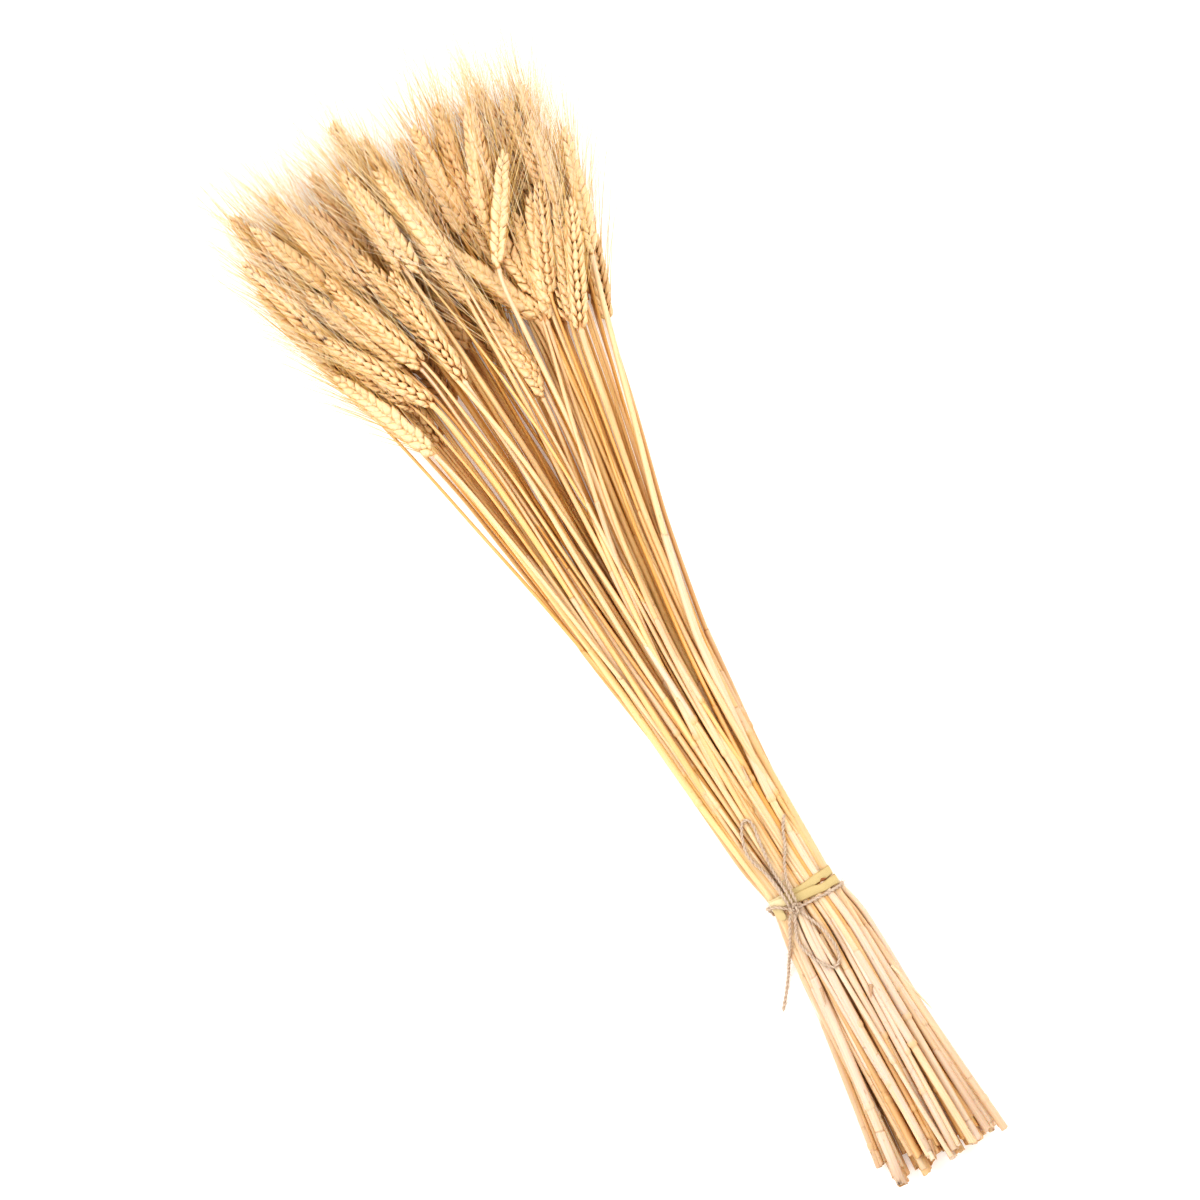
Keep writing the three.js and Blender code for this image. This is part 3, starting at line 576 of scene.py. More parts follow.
def twisted(name, route, lay=LAY):
    """A laid twine along a route of spots in metres, with its grain running along the yarns."""
    path = Path(route)
    places = np.linspace(0, path.length, int(path.length / TWINE_STEP) + 1)
    angles = np.linspace(0, 2 * math.pi, TWINE_SIDES, endpoint=False)
    turn = angles[None, :] - 2 * math.pi * places[:, None] / lay
    reach, groove = twist_section(turn)
    ends = np.minimum(1, np.minimum(places, path.length - places) / TWINE + END_SHARE)[:, None]
    uneven = 1 + UNEVEN_TWINE * np.sin(places[:, None] * 2900) * np.cos(places[:, None] * 1130 + 1)
    upright = np.stack([reach * ends * uneven * np.cos(angles), reach * ends * uneven * np.sin(angles),
                        np.broadcast_to(places[:, None], reach.shape)], -1)
    spots, faces = skin(path.bend(upright), path.spots[0], path.spots[-1])
    fibre = places[:, None] / MM * FIBRE_ALONG + 0 * turn
    yarn = np.stack([FIBRE_AROUND * np.cos(turn), FIBRE_AROUND * np.sin(turn), fibre], -1)
    grain = np.concatenate([yarn[:1, 0], yarn.reshape(-1, 3), yarn[-1:, 0]])
    depth = np.r_[0, groove.ravel() ** 3, 0]
    return mesh_object(name, spots, faces, twine, grain=grain, mark=depth, tone=0.5)


free_stretches = {
    "twine_loop_upper": (LOOP_UPPER, "object"),
    "twine_end_upper": (END_UPPER, "bare"),
    "twine_loop_lower": (LOOP_LOWER, "object"),
    "twine_end_lower": (END_LOWER, "bare"),
}
cords = {}
for node, (points, far_end) in free_stretches.items():
    route = TIE + through(points) * MM
    cords[node] = (twisted(node + "_jute", route), route, far_end)
    print(node, "length", round(Path(route).length, 4))

# %% [markdown]
# ## Hairs on the twine
#
# Jute is hairy. Geometry Nodes scatter points over the twine, put a short bent hair on each, and lay it
# over to the side, because hairs on real twine lie nearly flat and only their ends stand away. A particle
# system could do it too, but its hairs are not a mesh.

# %% One hair
HAIR_LENGTH = 2.6 * MM
HAIR_RADIUS = 0.045 * MM
HAIR_BEND = 0.9 * MM


def bristle(name, length, root, tip, curve, segments, material, sides=3):
    """A thin tapered rod along Z that bends towards X by curve."""
    share = np.linspace(0, 1, segments + 1)
    radii = (root + (tip - root) * share)[:, None]
    angles = np.linspace(0, 2 * math.pi, sides, endpoint=False)
    bow = (curve * share ** 2)[:, None]
    rings = np.stack([radii * np.cos(angles) + bow, radii * np.sin(angles) + 0 * bow,
                      length * share[:, None] + 0 * angles], -1)
    spots, faces = skin(rings, (0, 0, -root), (curve, 0, length + 3 * tip))
    along_rod = np.r_[0, np.repeat(share, sides), 1]
    return mesh_object(name, spots, faces, material, grain=spots, mark=(1 - along_rod) ** 3, tone=0.5)


hair = bristle("hair", HAIR_LENGTH, HAIR_RADIUS, 0.4 * HAIR_RADIUS, HAIR_BEND, 4, twine)
print("hair faces", len(hair.data.polygons))

# %% Scatter the hairs
def new_tree(name, inputs):
    """A Geometry Nodes tree with named inputs, and the value of each input."""
    tree = bpy.data.node_groups.new(name, "GeometryNodeTree")
    tree.interface.new_socket("Geometry", in_out="INPUT", socket_type="NodeSocketGeometry")
    tree.interface.new_socket("Geometry", in_out="OUTPUT", socket_type="NodeSocketGeometry")
    for label, kind in inputs.items():
        tree.interface.new_socket(label, in_out="INPUT", socket_type="NodeSocket" + kind)
    graph = Graph(tree)
    source = graph.add("NodeGroupInput")
    return graph, {label: source.other(label) for label in ["Geometry", *inputs]}


def output(graph, geometry):
    """Makes a geometry the result of its tree."""
    node = graph.tree.nodes.new("NodeGroupOutput")
    graph.tree.links.new(geometry.socket, node.inputs[0])


def grown(host, graph, values, name):
    """The mesh that a tree makes on a host object, as a new plain object; the host keeps its own mesh."""
    modifier = host.modifiers.new(name, "NODES")
    modifier.node_group = graph.tree
    for item in graph.tree.interface.items_tree:
        if item.item_type == "SOCKET" and item.in_out == "INPUT" and item.name in values:
            modifier[item.identifier] = values[item.name]
    seen = host.evaluated_get(bpy.context.evaluated_depsgraph_get())
    mesh = bpy.data.meshes.new_from_object(seen)
    host.modifiers.remove(modifier)
    mesh.name = name
    made = bpy.data.objects.new(name, mesh)
    bpy.context.scene.collection.objects.link(made)
    return made


def rotation_to(graph, axis, vector, rotation=None, pivot="AUTO"):
    """A rotation that turns an axis towards a vector, after a first rotation if there is one."""
    settings = {"axis": axis, "pivot_axis": pivot}
    return graph.add("FunctionNodeAlignRotationToVector", settings, {"Rotation": rotation, "Vector": vector})


def random(graph, low, high, seed):
    """A random number for each point, the same on every run."""
    values = {2: low, 3: high, 8: seed}
    return graph.add("FunctionNodeRandomValue", {"data_type": "FLOAT"}, values, out=1)


def made_real(graph, instances, material):
    """Instances turned into one mesh with a material."""
    real = graph.add("GeometryNodeRealizeInstances", None, [instances])
    return graph.add("GeometryNodeSetMaterial", None, {"Geometry": real, "Material": material})


def hair_tree():
    """A tree that scatters hairs over a mesh and leaves only the hairs."""
    graph, given = new_tree("scatter_hairs", {
        "Hair": "Object", "Density": "Float", "Seed": "Int", "Material": "Material"})
    points = graph.add("GeometryNodeDistributePointsOnFaces", None,
                       {"Mesh": given["Geometry"], "Density": given["Density"], "Seed": given["Seed"]})
    shape = graph.add("GeometryNodeObjectInfo", None, [given["Hair"]], out="Geometry")
    normal = points.other("Normal")
    lie = graph.vector(random(graph, -1, 1, 11), random(graph, -1, 1, 12), random(graph, -0.35, 1, 13))
    way = graph.add("ShaderNodeVectorMath", {"operation": "ADD"}, [normal, lie])
    turned = rotation_to(graph, "Z", way)
    size = random(graph, 0.3, 1.25, 14)
    hairs = graph.add("GeometryNodeInstanceOnPoints", None,
                      {"Points": points, "Instance": shape, "Rotation": turned, "Scale": size})
    output(graph, made_real(graph, hairs, given["Material"]))
    return graph


scatter = hair_tree()
LOWEST_HAIR = 0.1 * MM


def fuzz(host, density, seed):
    """The hairs of one stretch of twine."""
    values = {"Hair": hair, "Density": density, "Seed": seed, "Material": twine}
    hairs = grown(host, scatter, values, host.name.replace("_jute", "_hairs"))
    for vertex in hairs.data.vertices:
        vertex.co.z = max(vertex.co.z, LOWEST_HAIR)
    return hairs


HAIRS_PER_AREA = 1.1e6
for seed, (node, (piece, route, far_end)) in enumerate(cords.items()):
    hairs = fuzz(piece, HAIRS_PER_AREA, seed)
    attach(piece, "root")
    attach(hairs, "root")
    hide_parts(node)
    Path(route).length
    print(node, "faces", len(piece.data.polygons), "hair faces", len(hairs.data.polygons))

# %% [markdown]
# ## The outline of the straws at the tie
#
# The band and the twine are pulled tight, so they follow the straws' outline as a rubber band would. That
# outline is found direction by direction: the straw that reaches farthest in a direction touches there.

# %% A tight outline
def outline(height, grow, count=240):
    """Spots x, z round the straws at one height along the bundle, grown outwards, at even distances."""
    rings = []
    for ring in stalk_rings.values():
        middle = [np.interp(height, ring[:, 1], ring[:, axis]) for axis in (0, 2)]
        rings.append([*middle, np.interp(height, ring[:, 1], ring[:, 3])])
    rings = np.array(rings)
    turns = np.linspace(0, 2 * math.pi, 720, endpoint=False)
    ways = np.stack([np.cos(turns), np.sin(turns)], 1)
    farthest = np.argmax(ways @ rings[:, :2].T + rings[:, 2], axis=1)
    spots = rings[farthest, :2] + (rings[farthest, 2:] + grow) * ways
    closed = np.concatenate([spots, spots[:1]])
    reach = np.r_[0, np.cumsum(np.linalg.norm(np.diff(closed, axis=0), axis=1))]
    places = np.linspace(0, reach[-1], count, endpoint=False)
    return np.stack([np.interp(places, reach, closed[:, axis]) for axis in (0, 1)], 1)


def laid_on_table(spots, lowest):
    """The underside sags until it touches the table."""
    sag = np.clip(1 - spots[:, 1] / (6 * MM), 0, 1) * (spots[:, 1].min() - lowest)
    return spots - np.stack([0 * sag, sag], 1)


tie_outline = outline(tie_y, 0) / MM
print("outline at the tie", tie_outline.min(0).round(1), tie_outline.max(0).round(1))

# %% [markdown]
# ## The straw band
#
# One flat strip of straw goes twice round the bundle. Its two turns lie partly over each other and spread
# at the right, where a dark slit shows between them, and its end is tucked under and sticks out at the
# left as a rounded tab. It is swept as a thin closed strip with a slightly crowned outside.

# %% Band material
def band_finish(graph):
    fibres = noise(graph, stretched(graph, 1.0, 22.0, 1.0), scale=60, detail=3)
    clouds = noise(graph, stretched(graph, 1.0, 3.0, 1.0), scale=110, detail=2)
    edge = attribute(graph, "mark")
    colour = graph.mix(graph.ramp(fibres, 0.35, 0.65), srgb(199, 178, 126), srgb(224, 205, 156))
    colour = graph.mix(graph.ramp(clouds, 0.5, 0.75) * 0.5, colour, srgb(230, 214, 170))
    # Painted light: the band is paler at the bundle's left and on the tab.
    colour = graph.mix(attribute(graph, "bleached") * 0.7, colour, srgb(250, 238, 204))
    colour = graph.mix(edge * 0.4, colour, srgb(176, 136, 74))
    roughness = fibres * 0.25 + 0.4
    return colour, roughness, fibres


band_look = finish("band_straw", band_finish, bump=0.2 * MM)

# %% Sweep the strip
STRIP_WIDTH = 4.8 * MM
STRIP_THICK = 0.35 * MM
STRIP_COLUMNS = 9
STRIP_TURNS = [
    {"middle": 2.2, "slope": 0.02, "grow": 0.45},
    {"middle": -0.9, "slope": -0.13, "grow": 0.95},
]
STRIP_TABLE_GAP = 0.25 * MM
CROWN = 0.22 * MM
SLIT_AT = 9.5
SLIT_WIDE = 0.75
SLIT_HALF = 2.6


def strip_turn(turn, seed):
    """One closed turn of the strip: its rings run round the bundle, and each is the strip's section."""
    base = laid_on_table(outline(tie_y + turn["middle"] * MM, turn["grow"] * MM), STRIP_TABLE_GAP)
    middle = base.mean(0)
    out = unit(base - middle)
    x = (base[:, 0] - TIE[0]) / MM
    rng = np.random.default_rng(seed)
    waves = rng.uniform(0, 6.28, 4)
    angle = np.linspace(0, 2 * math.pi, len(base), endpoint=False)
    stray = 0.25 * np.sin(3 * angle + waves[0]) + 0.15 * np.sin(7 * angle + waves[1])
    on_top = base[:, 1] > middle[1]
    slit = np.where(on_top, SLIT_WIDE * np.exp(-((x - SLIT_AT) / SLIT_HALF) ** 2), 0)
    away = slit if turn["middle"] > 0 else -slit
    centre = turn["middle"] + turn["slope"] * x + stray + away * 0.5
    width = (1 + 0.05 * np.sin(5 * angle + waves[2])) * STRIP_WIDTH - slit * 0.5 * MM
    across = np.linspace(-1, 1, STRIP_COLUMNS)
    crown = CROWN * (1 - across ** 2)
    outer = crown + STRIP_THICK / 2
    inner = crown - STRIP_THICK / 2
    section = np.r_[across, across[::-1]]
    lift = np.r_[outer, inner[::-1]]
    rings = np.zeros((len(base), len(section), 3))
    rings[..., 0] = base[:, :1] + out[:, :1] * lift
    rings[..., 1] = tie_y + centre[:, None] * MM + width[:, None] / 2 * section
    rings[..., 2] = np.maximum(base[:, 1:] + out[:, 1:] * lift, 0.02 * MM)
    grain = np.stack([np.broadcast_to(angle[:, None] * 2.7, rings.shape[:2]) + seed,
                      np.broadcast_to(section[None, :] * 0.4, rings.shape[:2]),
                      np.broadcast_to(lift[None, :] * 0, rings.shape[:2])], -1)
    edge = np.broadcast_to(np.abs(section) ** 8, rings.shape[:2])
    return rings, grain, edge


def loop_faces(count, sides, flip):
    """Faces of a ring of rings, with no ends."""
    faces = []
    for i in range(count):
        low = i * sides
        high = ((i + 1) % count) * sides
        for j in range(sides):
            k = (j + 1) % sides
            corners = [low + j, low + k, high + k, high + j]
            faces.append(corners[::-1] if flip else corners)
    return faces


def strip_object(name, turn, seed):
    """One turn of the strip as an object, with painted light that makes it paler at the bundle's left."""
    rings, grain, edge = strip_turn(turn, seed)
    faces = loop_faces(*rings.shape[:2], flip=False)
    return mesh_object(name, rings.reshape(-1, 3), faces, band_look,
                       grain=grain.reshape(-1, 3), mark=edge.ravel(), tone=0.5,
                       bleached=np.clip((TIE[0] - 9 * MM - rings[..., 0].ravel()) / (4 * MM), 0, 1))


# %% The tab
TAB_MIDDLE = (-15.9, -3.6)
TAB_LENGTH = 8.0 * MM
TAB_WIDTH = 5.6 * MM
TAB_HEIGHT = 15.9 * MM
TAB_SLOPE = 0.45


def tab_object():
    """The strip's end: a rounded plate on the bundle's left shoulder that points to the cut ends."""
    share = np.linspace(0, 1, 13)
    across = np.linspace(-1, 1, 7)
    width = TAB_WIDTH / 2 * np.clip(1 - np.maximum(share - 0.7, 0) ** 2 / 0.09, 0.06, 1) ** 0.5
    x = TIE[0] + TAB_MIDDLE[0] * MM + width[:, None] * across * 0.8 + (share[:, None] - 0.5) * 0.6 * MM
    y = TIE[1] + TAB_MIDDLE[1] * MM + (0.5 - share[:, None]) * TAB_LENGTH + 0 * across
    top = TAB_HEIGHT + (x - x.mean()) * TAB_SLOPE + 0.35 * MM * np.sin(share[:, None] * 3)
    upper = np.stack([x, y, top + STRIP_THICK / 2], -1)
    lower = np.stack([x, y, top - STRIP_THICK / 2], -1)
    rings = np.concatenate([upper, lower[:, ::-1]], 1)
    spots, faces = skin(rings, rings[0].mean(0), rings[-1].mean(0))
    grain = np.stack([spots[:, 1] * 600, spots[:, 0] * 160, 0 * spots[:, 0]], 1)
    # Painted light makes the tab paler.
    return mesh_object("tab", spots, [face[::-1] for face in faces], band_look,
                       grain=grain, mark=0.12, tone=0.5, bleached=0.3)


strips = [strip_object(f"strip_{n}", turn, n + 3) for n, turn in enumerate(STRIP_TURNS)]
band = join([*strips, tab_object()], "band_of_straw")
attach(band, "root")
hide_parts("straw_band")
print("band faces", len(band.data.polygons))

# %% [markdown]
# ## The twine's turn and its knot
#
# The twine goes once round the straws on the cut side of the band, rises over the band at the left, and is
# tied on top. The knot is the simplest one that can be tied in a closed curve, a trefoil, pulled tight.

# %% Turn and knot
TURN_MIDDLE = -5.4
TURN_SLOPE = -0.06
KNOT_PLACE = (-8.2, -4.2)
KNOT_SIZE = (0.72, 0.95, 0.9)


def turn_route():
    """The twine's way round the bundle, from the knot's place and back to it."""
    base = laid_on_table(outline(tie_y + TURN_MIDDLE * MM, 0.95 * MM, 120), TWINE / 2)
    x = (base[:, 0] - TIE[0]) / MM
    left = np.clip((-x - 9) / 6, 0, 1) * (base[:, 1] > 6 * MM)
    y = tie_y + (TURN_MIDDLE + TURN_SLOPE * x + 5.0 * left) * MM
    lift = 1.2 * MM * left
    out = unit(base - base.mean(0))
    rings = np.stack([base[:, 0] + out[:, 0] * lift, y, base[:, 1] + out[:, 1] * lift], 1)
    start = np.argmin(np.abs(x - KNOT_PLACE[0]) + 100 * (base[:, 1] < base[:, 1].mean()))
    rings = np.roll(rings, -start, axis=0)
    return smoothed(np.concatenate([rings, rings[:1]]), 0.5 * MM, 1.0 * MM)


def knot_route(top):
    """A flat trefoil about the knot's place, with its middle at the height top."""
    share = np.linspace(0, 2 * math.pi, 90)
    x = np.sin(share) + 2 * np.sin(2 * share)
    y = np.cos(share) - 2 * np.cos(2 * share)
    z = -np.sin(3 * share)
    shape = np.stack([x, y, z], 1) * np.array(KNOT_SIZE) * MM
    return np.array([TIE[0] + KNOT_PLACE[0] * MM, tie_y + KNOT_PLACE[1] * MM, top]) + shape


turn_spots = turn_route()
knot_height = turn_spots[0, 2] + 1.5 * MM
tie_pieces = [twisted("turn", turn_spots), twisted("knot", knot_route(knot_height), lay=LAY * 0.8)]
tie = join(tie_pieces, "twine_turn_jute")
tie_hairs = fuzz(tie, HAIRS_PER_AREA, 9)
for piece in (tie, tie_hairs):
    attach(piece, "root")
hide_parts("twine_tie")
print("turn of", round(Path(turn_spots).length, 4), "knot at", round(knot_height, 4))

# %% [markdown]
# ## The husk and the awns
#
# An ear of wheat is a zigzag stem with a spikelet on each step. A spikelet is a fan of boat-shaped husks,
# and most husks end in a long awn. Only the husk and two awns are modelled, with a few dozen faces each,
# because the ear repeats them hundreds of times. The husk's back is round with a low keel, and its front,
# which faces the ear's stem, is flat. There are two plainer copies of it with fewer faces, for the ears that
# hardly show.

# %% The husk
HUSK_LENGTH = 9.8 * MM
HUSK_WIDTH = 5.0 * MM
HUSK_DEPTH = 2.8 * MM
HUSK_OUTLINE = np.array([
    (0.06, 0.34), (0.24, 0.84), (0.45, 1.00), (0.68, 0.72), (0.88, 0.24),
])


def husk_shape(name, sides, profile):
    """A closed boat along Z: a round, keeled back towards X and a flatter front."""
    share, wide = profile[:, :1], profile[:, 1:]
    angles = np.linspace(0, 2 * math.pi, sides, endpoint=False)
    back = np.cos(angles)
    keel = np.where(back > 0.99, 1.14, 1.0)
    depth = np.where(back > 0, back * keel, 0.45 * back) * HUSK_DEPTH * 0.6
    x = wide * depth + 0.4 * MM * np.sin(share * math.pi)
    y = wide * np.sin(angles) * HUSK_WIDTH / 2
    z = share * HUSK_LENGTH + 0 * angles
    spots, faces = skin(np.stack([x, y, z], -1), (0, 0, 0), (0.1 * MM, 0, HUSK_LENGTH))
    edge = np.abs(spots[:, 1]) / (HUSK_WIDTH / 2)
    tip = spots[:, 2] / HUSK_LENGTH
    # The mark is painted shade along the side edges and over the lower part, which the husk below covers; the
    # tip is browner too.
    mark = np.clip(edge ** 4 * 0.4 + np.clip(tip - 0.8, 0, 1) * 2 + np.clip(0.42 - tip, 0, 1) * 1.8, 0, 1)
    return mesh_object(name, spots, faces, husk, grain=spots, mark=mark, tone=0.5)


one_husk = husk_shape("husk_shape", 7, HUSK_OUTLINE)
plain_husk = husk_shape("husk_plain", 6, HUSK_OUTLINE[[0, 1, 2, 4]])
lean_husk = husk_shape("husk_lean", 5, HUSK_OUTLINE[[0, 2, 4]])

# %% The awns
AWN_LENGTH = 84 * MM
AWN_ROOT = 0.18 * MM
AWN_TIP = 0.035 * MM
AWN_BOWS = (3.0 * MM, 8.5 * MM)
AWN_SEGMENTS = 5
one_awn = [bristle(f"awn_shape_{n}", AWN_LENGTH, AWN_ROOT, AWN_TIP, bow, AWN_SEGMENTS, awn)
           for n, bow in enumerate(AWN_BOWS)]
print("husk faces", len(one_husk.data.polygons), "awn faces", len(one_awn[0].data.polygons))

# %% [markdown]
# ## The ear
#
# Geometry Nodes place the husks. A line of points holds five for each spikelet, and every point works out
# from its own number which spikelet it belongs to, on which side of the ear, and where in the fan: two
# outer florets, a smaller one between them, and two husks below. The ear is grown upright, and numpy bends
# it onto the straw's line afterwards. A modelled zigzag would look the same each time, but with the seed
# as an input no two ears are alike.

# %% What each floret knows
FLORETS = 5
FAN_AT = (-1.0, 1.0, 0.0, -1.15, 1.15)
FAN_LIFT = (1.2, 1.2, 3.6, -0.4, -0.4)
FAN_SIZE = (1.0, 1.0, 0.85, 0.68, 0.68)
FAN_LEAN = (1.0, 1.0, 0.9, 0.55, 0.55)
EAR_TAPER = 1.3
FULLEST_AT = 0.42
TOP_FROM = 0.93
EAR_SHARE = 0.92
JITTER = 0.25
JITTER_ALONG = 0.5


def pick(number, values):
    """The value that goes with a whole number, from a short row of values."""
    total = None
    for n, value in enumerate(values):
        if value == 0:
            continue
        here = number.math("COMPARE", float(n), 0.1) * value
        total = here if total is None else total + here
    return total


class Floret:
    """What a point of the ear's line works out from its own number: its side, its height and its place."""

    def __init__(self, graph, given):
        count = given["Spikelets"] * FLORETS
        self.line = graph.add("GeometryNodeMeshLine", None, {"Count": count, "Offset": (0, 0, 0)})
        number = graph.add("GeometryNodeInputIndex")
        spikelet = (number / FLORETS).math("FLOOR")
        self.seed = given["Seed"]
        self.number = number - spikelet * FLORETS
        self.side = 1 - 2 * spikelet.math("MODULO", 2.0)
        self.height = (spikelet + 0.5) / given["Spikelets"]
        self.fan = pick(self.number, FAN_AT)
        self.open_by = pick(self.number, FAN_LEAN)
        self.taper = 1 - EAR_TAPER * (self.height - FULLEST_AT) ** 2
        self.last = graph.ramp(self.height, TOP_FROM, 1.0)
        self.wobble = [random(graph, -1, 1, self.seed + salt) for salt in range(1, 8)]
        self.grow = pick(self.number, FAN_SIZE) * self.taper * (1 + 0.1 * self.wobble[5])
        lift = pick(self.number, FAN_LIFT) * MM
        x = self.side * given["Rank Offset"] * self.taper * (1 - self.last) + self.wobble[0] * JITTER * MM
        y = self.fan * given["Fan Width"] * self.taper + self.wobble[1] * JITTER * MM
        z = self.height * given["Ear Length"] * EAR_SHARE + lift * self.taper
        self.place = graph.vector(x, y, z + self.wobble[2] * JITTER_ALONG * MM)


# %% Place the husks
LEAN_FALLS = 0.35
FAN_OUT = 0.33
FAN_FALLS = 0.4
HUSK_TONES = 0.35
RIPE_TONE = 0.65


def with_tone(graph, instances, tone):
    """Instances that each carry a tone of their own."""
    return graph.add("GeometryNodeStoreNamedAttribute", {"data_type": "FLOAT", "domain": "INSTANCE"},
                     {"Geometry": instances, "Name": "tone", "Value": tone})


def floret_way(graph, given, floret):
    """The direction in which a floret points: outwards, and less so towards the ear's tip."""
    lean = given["Lean"] * floret.open_by * (1 - LEAN_FALLS * floret.height) * (1 - floret.last)
    fan_out = floret.fan * FAN_OUT * (1 - FAN_FALLS * floret.height)
    return graph.vector(floret.side * lean + floret.wobble[3] * 0.08, fan_out + floret.wobble[4] * 0.07, 1.0)


def place_husks(graph, given, floret, way):
    """A husk on every floret, with its round back outwards."""
    back = graph.vector(floret.side * 0.5, floret.fan * 1.0, 0.0)
    turned = rotation_to(graph, "X", back, rotation_to(graph, "Z", way), "Z")
    plump = floret.grow * given["Plumpness"]
    place = graph.add("GeometryNodeSetPosition", None, {"Geometry": floret.line, "Position": floret.place})
    form = graph.add("GeometryNodeObjectInfo", None, [given["Husk"]], out="Geometry")
    husks = graph.add("GeometryNodeInstanceOnPoints", None, {
        "Points": place, "Instance": form, "Rotation": turned,
        "Scale": graph.vector(plump, plump, floret.grow)})
    tone = random(graph, 0, HUSK_TONES, floret.seed + 20) + given["Ripeness"] * RIPE_TONE
    return made_real(graph, with_tone(graph, husks, tone), given["Husk Material"])


# %% Place the awns
TIP_AT = 0.9
AWN_FAN = 0.8
AWN_STRAY = 0.09
BEARDED_UP_TO = 1.5


def awn_rotation(graph, given, floret):
    """Awns lean out as the florets do, but less, and least at the ear's tip."""
    spread = given["Awn Lean"] * (1.4 - 0.8 * floret.height)
    x = floret.side * spread * (1 - floret.last) + floret.wobble[4] * AWN_STRAY
    y = floret.fan * spread * AWN_FAN + floret.wobble[5] * AWN_STRAY
    back = graph.vector(floret.side + floret.wobble[6], floret.fan + floret.wobble[3], 0.0)
    return rotation_to(graph, "X", back, rotation_to(graph, "Z", graph.vector(x, y, 1.0)), "Z")


def place_awns(graph, given, floret, way):
    """An awn, straight or bowed, on the tips of many of the two outer florets."""
    direction = graph.add("ShaderNodeVectorMath", {"operation": "NORMALIZE"}, [way])
    reach = graph.add("ShaderNodeVectorMath", {"operation": "SCALE"},
                      {0: direction, "Scale": floret.grow * HUSK_LENGTH * TIP_AT})
    root = graph.add("ShaderNodeVectorMath", {"operation": "ADD"}, [floret.place, reach])
    at_tips = graph.add("GeometryNodeSetPosition", None, {"Geometry": floret.line, "Position": root})
    turned = awn_rotation(graph, given, floret)
    long = given["Awn Size"] * (1 + 0.3 * floret.wobble[0]) * (1 - 0.22 * floret.height)
    long = long * (0.72 + 0.28 * floret.taper)
    bearded = random(graph, 0, 1, floret.seed + 30).math("LESS_THAN", given["Beards"])
    bearded = floret.number.math("LESS_THAN", BEARDED_UP_TO) * bearded
    straight = random(graph, 0, 1, floret.seed + 31).math("GREATER_THAN", 0.5)
    beards = []
    for label, chosen in (("Straight Awn", bearded * straight), ("Bowed Awn", bearded * (1 - straight))):
        shape = graph.add("GeometryNodeObjectInfo", None, [given[label]], out="Geometry")
        awns = graph.add("GeometryNodeInstanceOnPoints", None, {
            "Points": at_tips, "Selection": chosen, "Instance": shape, "Rotation": turned,
            "Scale": graph.vector(1.0, 1.0, long)})
        beards.append(with_tone(graph, awns, random(graph, 0, 1, floret.seed + 21)))
    return made_real(graph, joined(graph, beards), given["Awn Material"])


# %% A tree that grows an ear
def joined(graph, parts):
    """Several geometries as one."""
    both = graph.add("GeometryNodeJoinGeometry")
    for part in parts:
        graph.tree.links.new(part.socket, both.socket.node.inputs[0])
    return both


def ear_tree():
    """The tree of one ear, whose inputs say how long, how wide and how bearded it is."""
    graph, given = new_tree("ear_of_wheat", {
        "Husk": "Object", "Straight Awn": "Object", "Bowed Awn": "Object", "Spikelets": "Int",
        "Ear Length": "Float", "Rank Offset": "Float", "Fan Width": "Float", "Lean": "Float",
        "Awn Lean": "Float", "Awn Size": "Float", "Plumpness": "Float", "Ripeness": "Float",
        "Beards": "Float", "Seed": "Int",
        "Husk Material": "Material", "Awn Material": "Material"})
    floret = Floret(graph, given)
    way = floret_way(graph, given, floret)
    husks = place_husks(graph, given, floret, way)
    output(graph, joined(graph, [husks, place_awns(graph, given, floret, way)]))
    return graph


ear_graph = ear_tree()
seed_bed = mesh_object("seed_bed", [(0, 0, 0)], [], husk)
print("ear tree nodes", len(ear_graph.tree.nodes))

# %% [markdown]
# ## The line of each stalk
#
# A stalk's line comes from the rings of its solid straw: from the cut end through the tie to the ear's base,
# and then straight on through the ear. All that differs from stalk to stalk hangs on the stalk's own random
# numbers, whose seed is its number, so every run grows the same bundle. The straws of the top rows, which
# show, have fuller necks than the hidden ones, as in the photograph.

# %% How thick a straw is
STRAW_RADII = np.array([
    (-150, 2.05), (-75, 1.95), (-20, 1.70), (20, 1.65), (75, 1.65), (135, 1.50), (250, 1.25), (400, 1.10),
])
NECK_FULLER = np.array([(30, 1.0), (90, 1.15), (300, 1.18), (360, 1.0)])


def usual_radius(height):
    """The radius of a straw at a height in millimetres above the tie."""
    return np.interp(height, STRAW_RADII[:, 0], STRAW_RADII[:, 1]) * MM


print("a straw's radius at the cut end, tie and ear", usual_radius([-150, 0, 250]))

# %% One stalk and its line
TOP_ROWS_FROM = 26
FIRST_FILLER = 100
PAST_EAR = 95 * MM
LINE_STEP = 2 * MM
LINE_BLUR = 7 * MM


class Stalk:
    """What one straw and its ear need: their line, and the places along it where something changes."""

    def __init__(self, name, line, base, ear_end, joint_height, seed, slim=1.0):
        self.name = name
        self.rng = np.random.default_rng(seed)
        self.seed = seed
        self.slim = slim
        self.shown = TOP_ROWS_FROM <= seed < FIRST_FILLER
        self.base = base
        self.ear_end = ear_end
        self.ear_length = np.linalg.norm(ear_end - base)
        past_end = ear_end + unit(ear_end - base) * PAST_EAR
        self.path = Path(smoothed([*line, base, ear_end, past_end], LINE_STEP, LINE_BLUR))
        self.base_at = self.path.reach[np.argmin(np.linalg.norm(self.path.spots - base, axis=1))]
        self.joint_at = self.place_at_height(joint_height)

    def place_at_height(self, millimetres):
        """How far along its line the stalk is at a height above the tie."""
        return np.interp(tie_y + millimetres * MM, self.path.spots[:, 1], self.path.reach)

    def middle_at(self, y):
        """The x, y and z of its middle at a place, or at each of a row of places, along the bundle."""
        return np.array([np.interp(y, self.path.spots[:, 1], self.path.spots[:, axis]) for axis in range(3)])


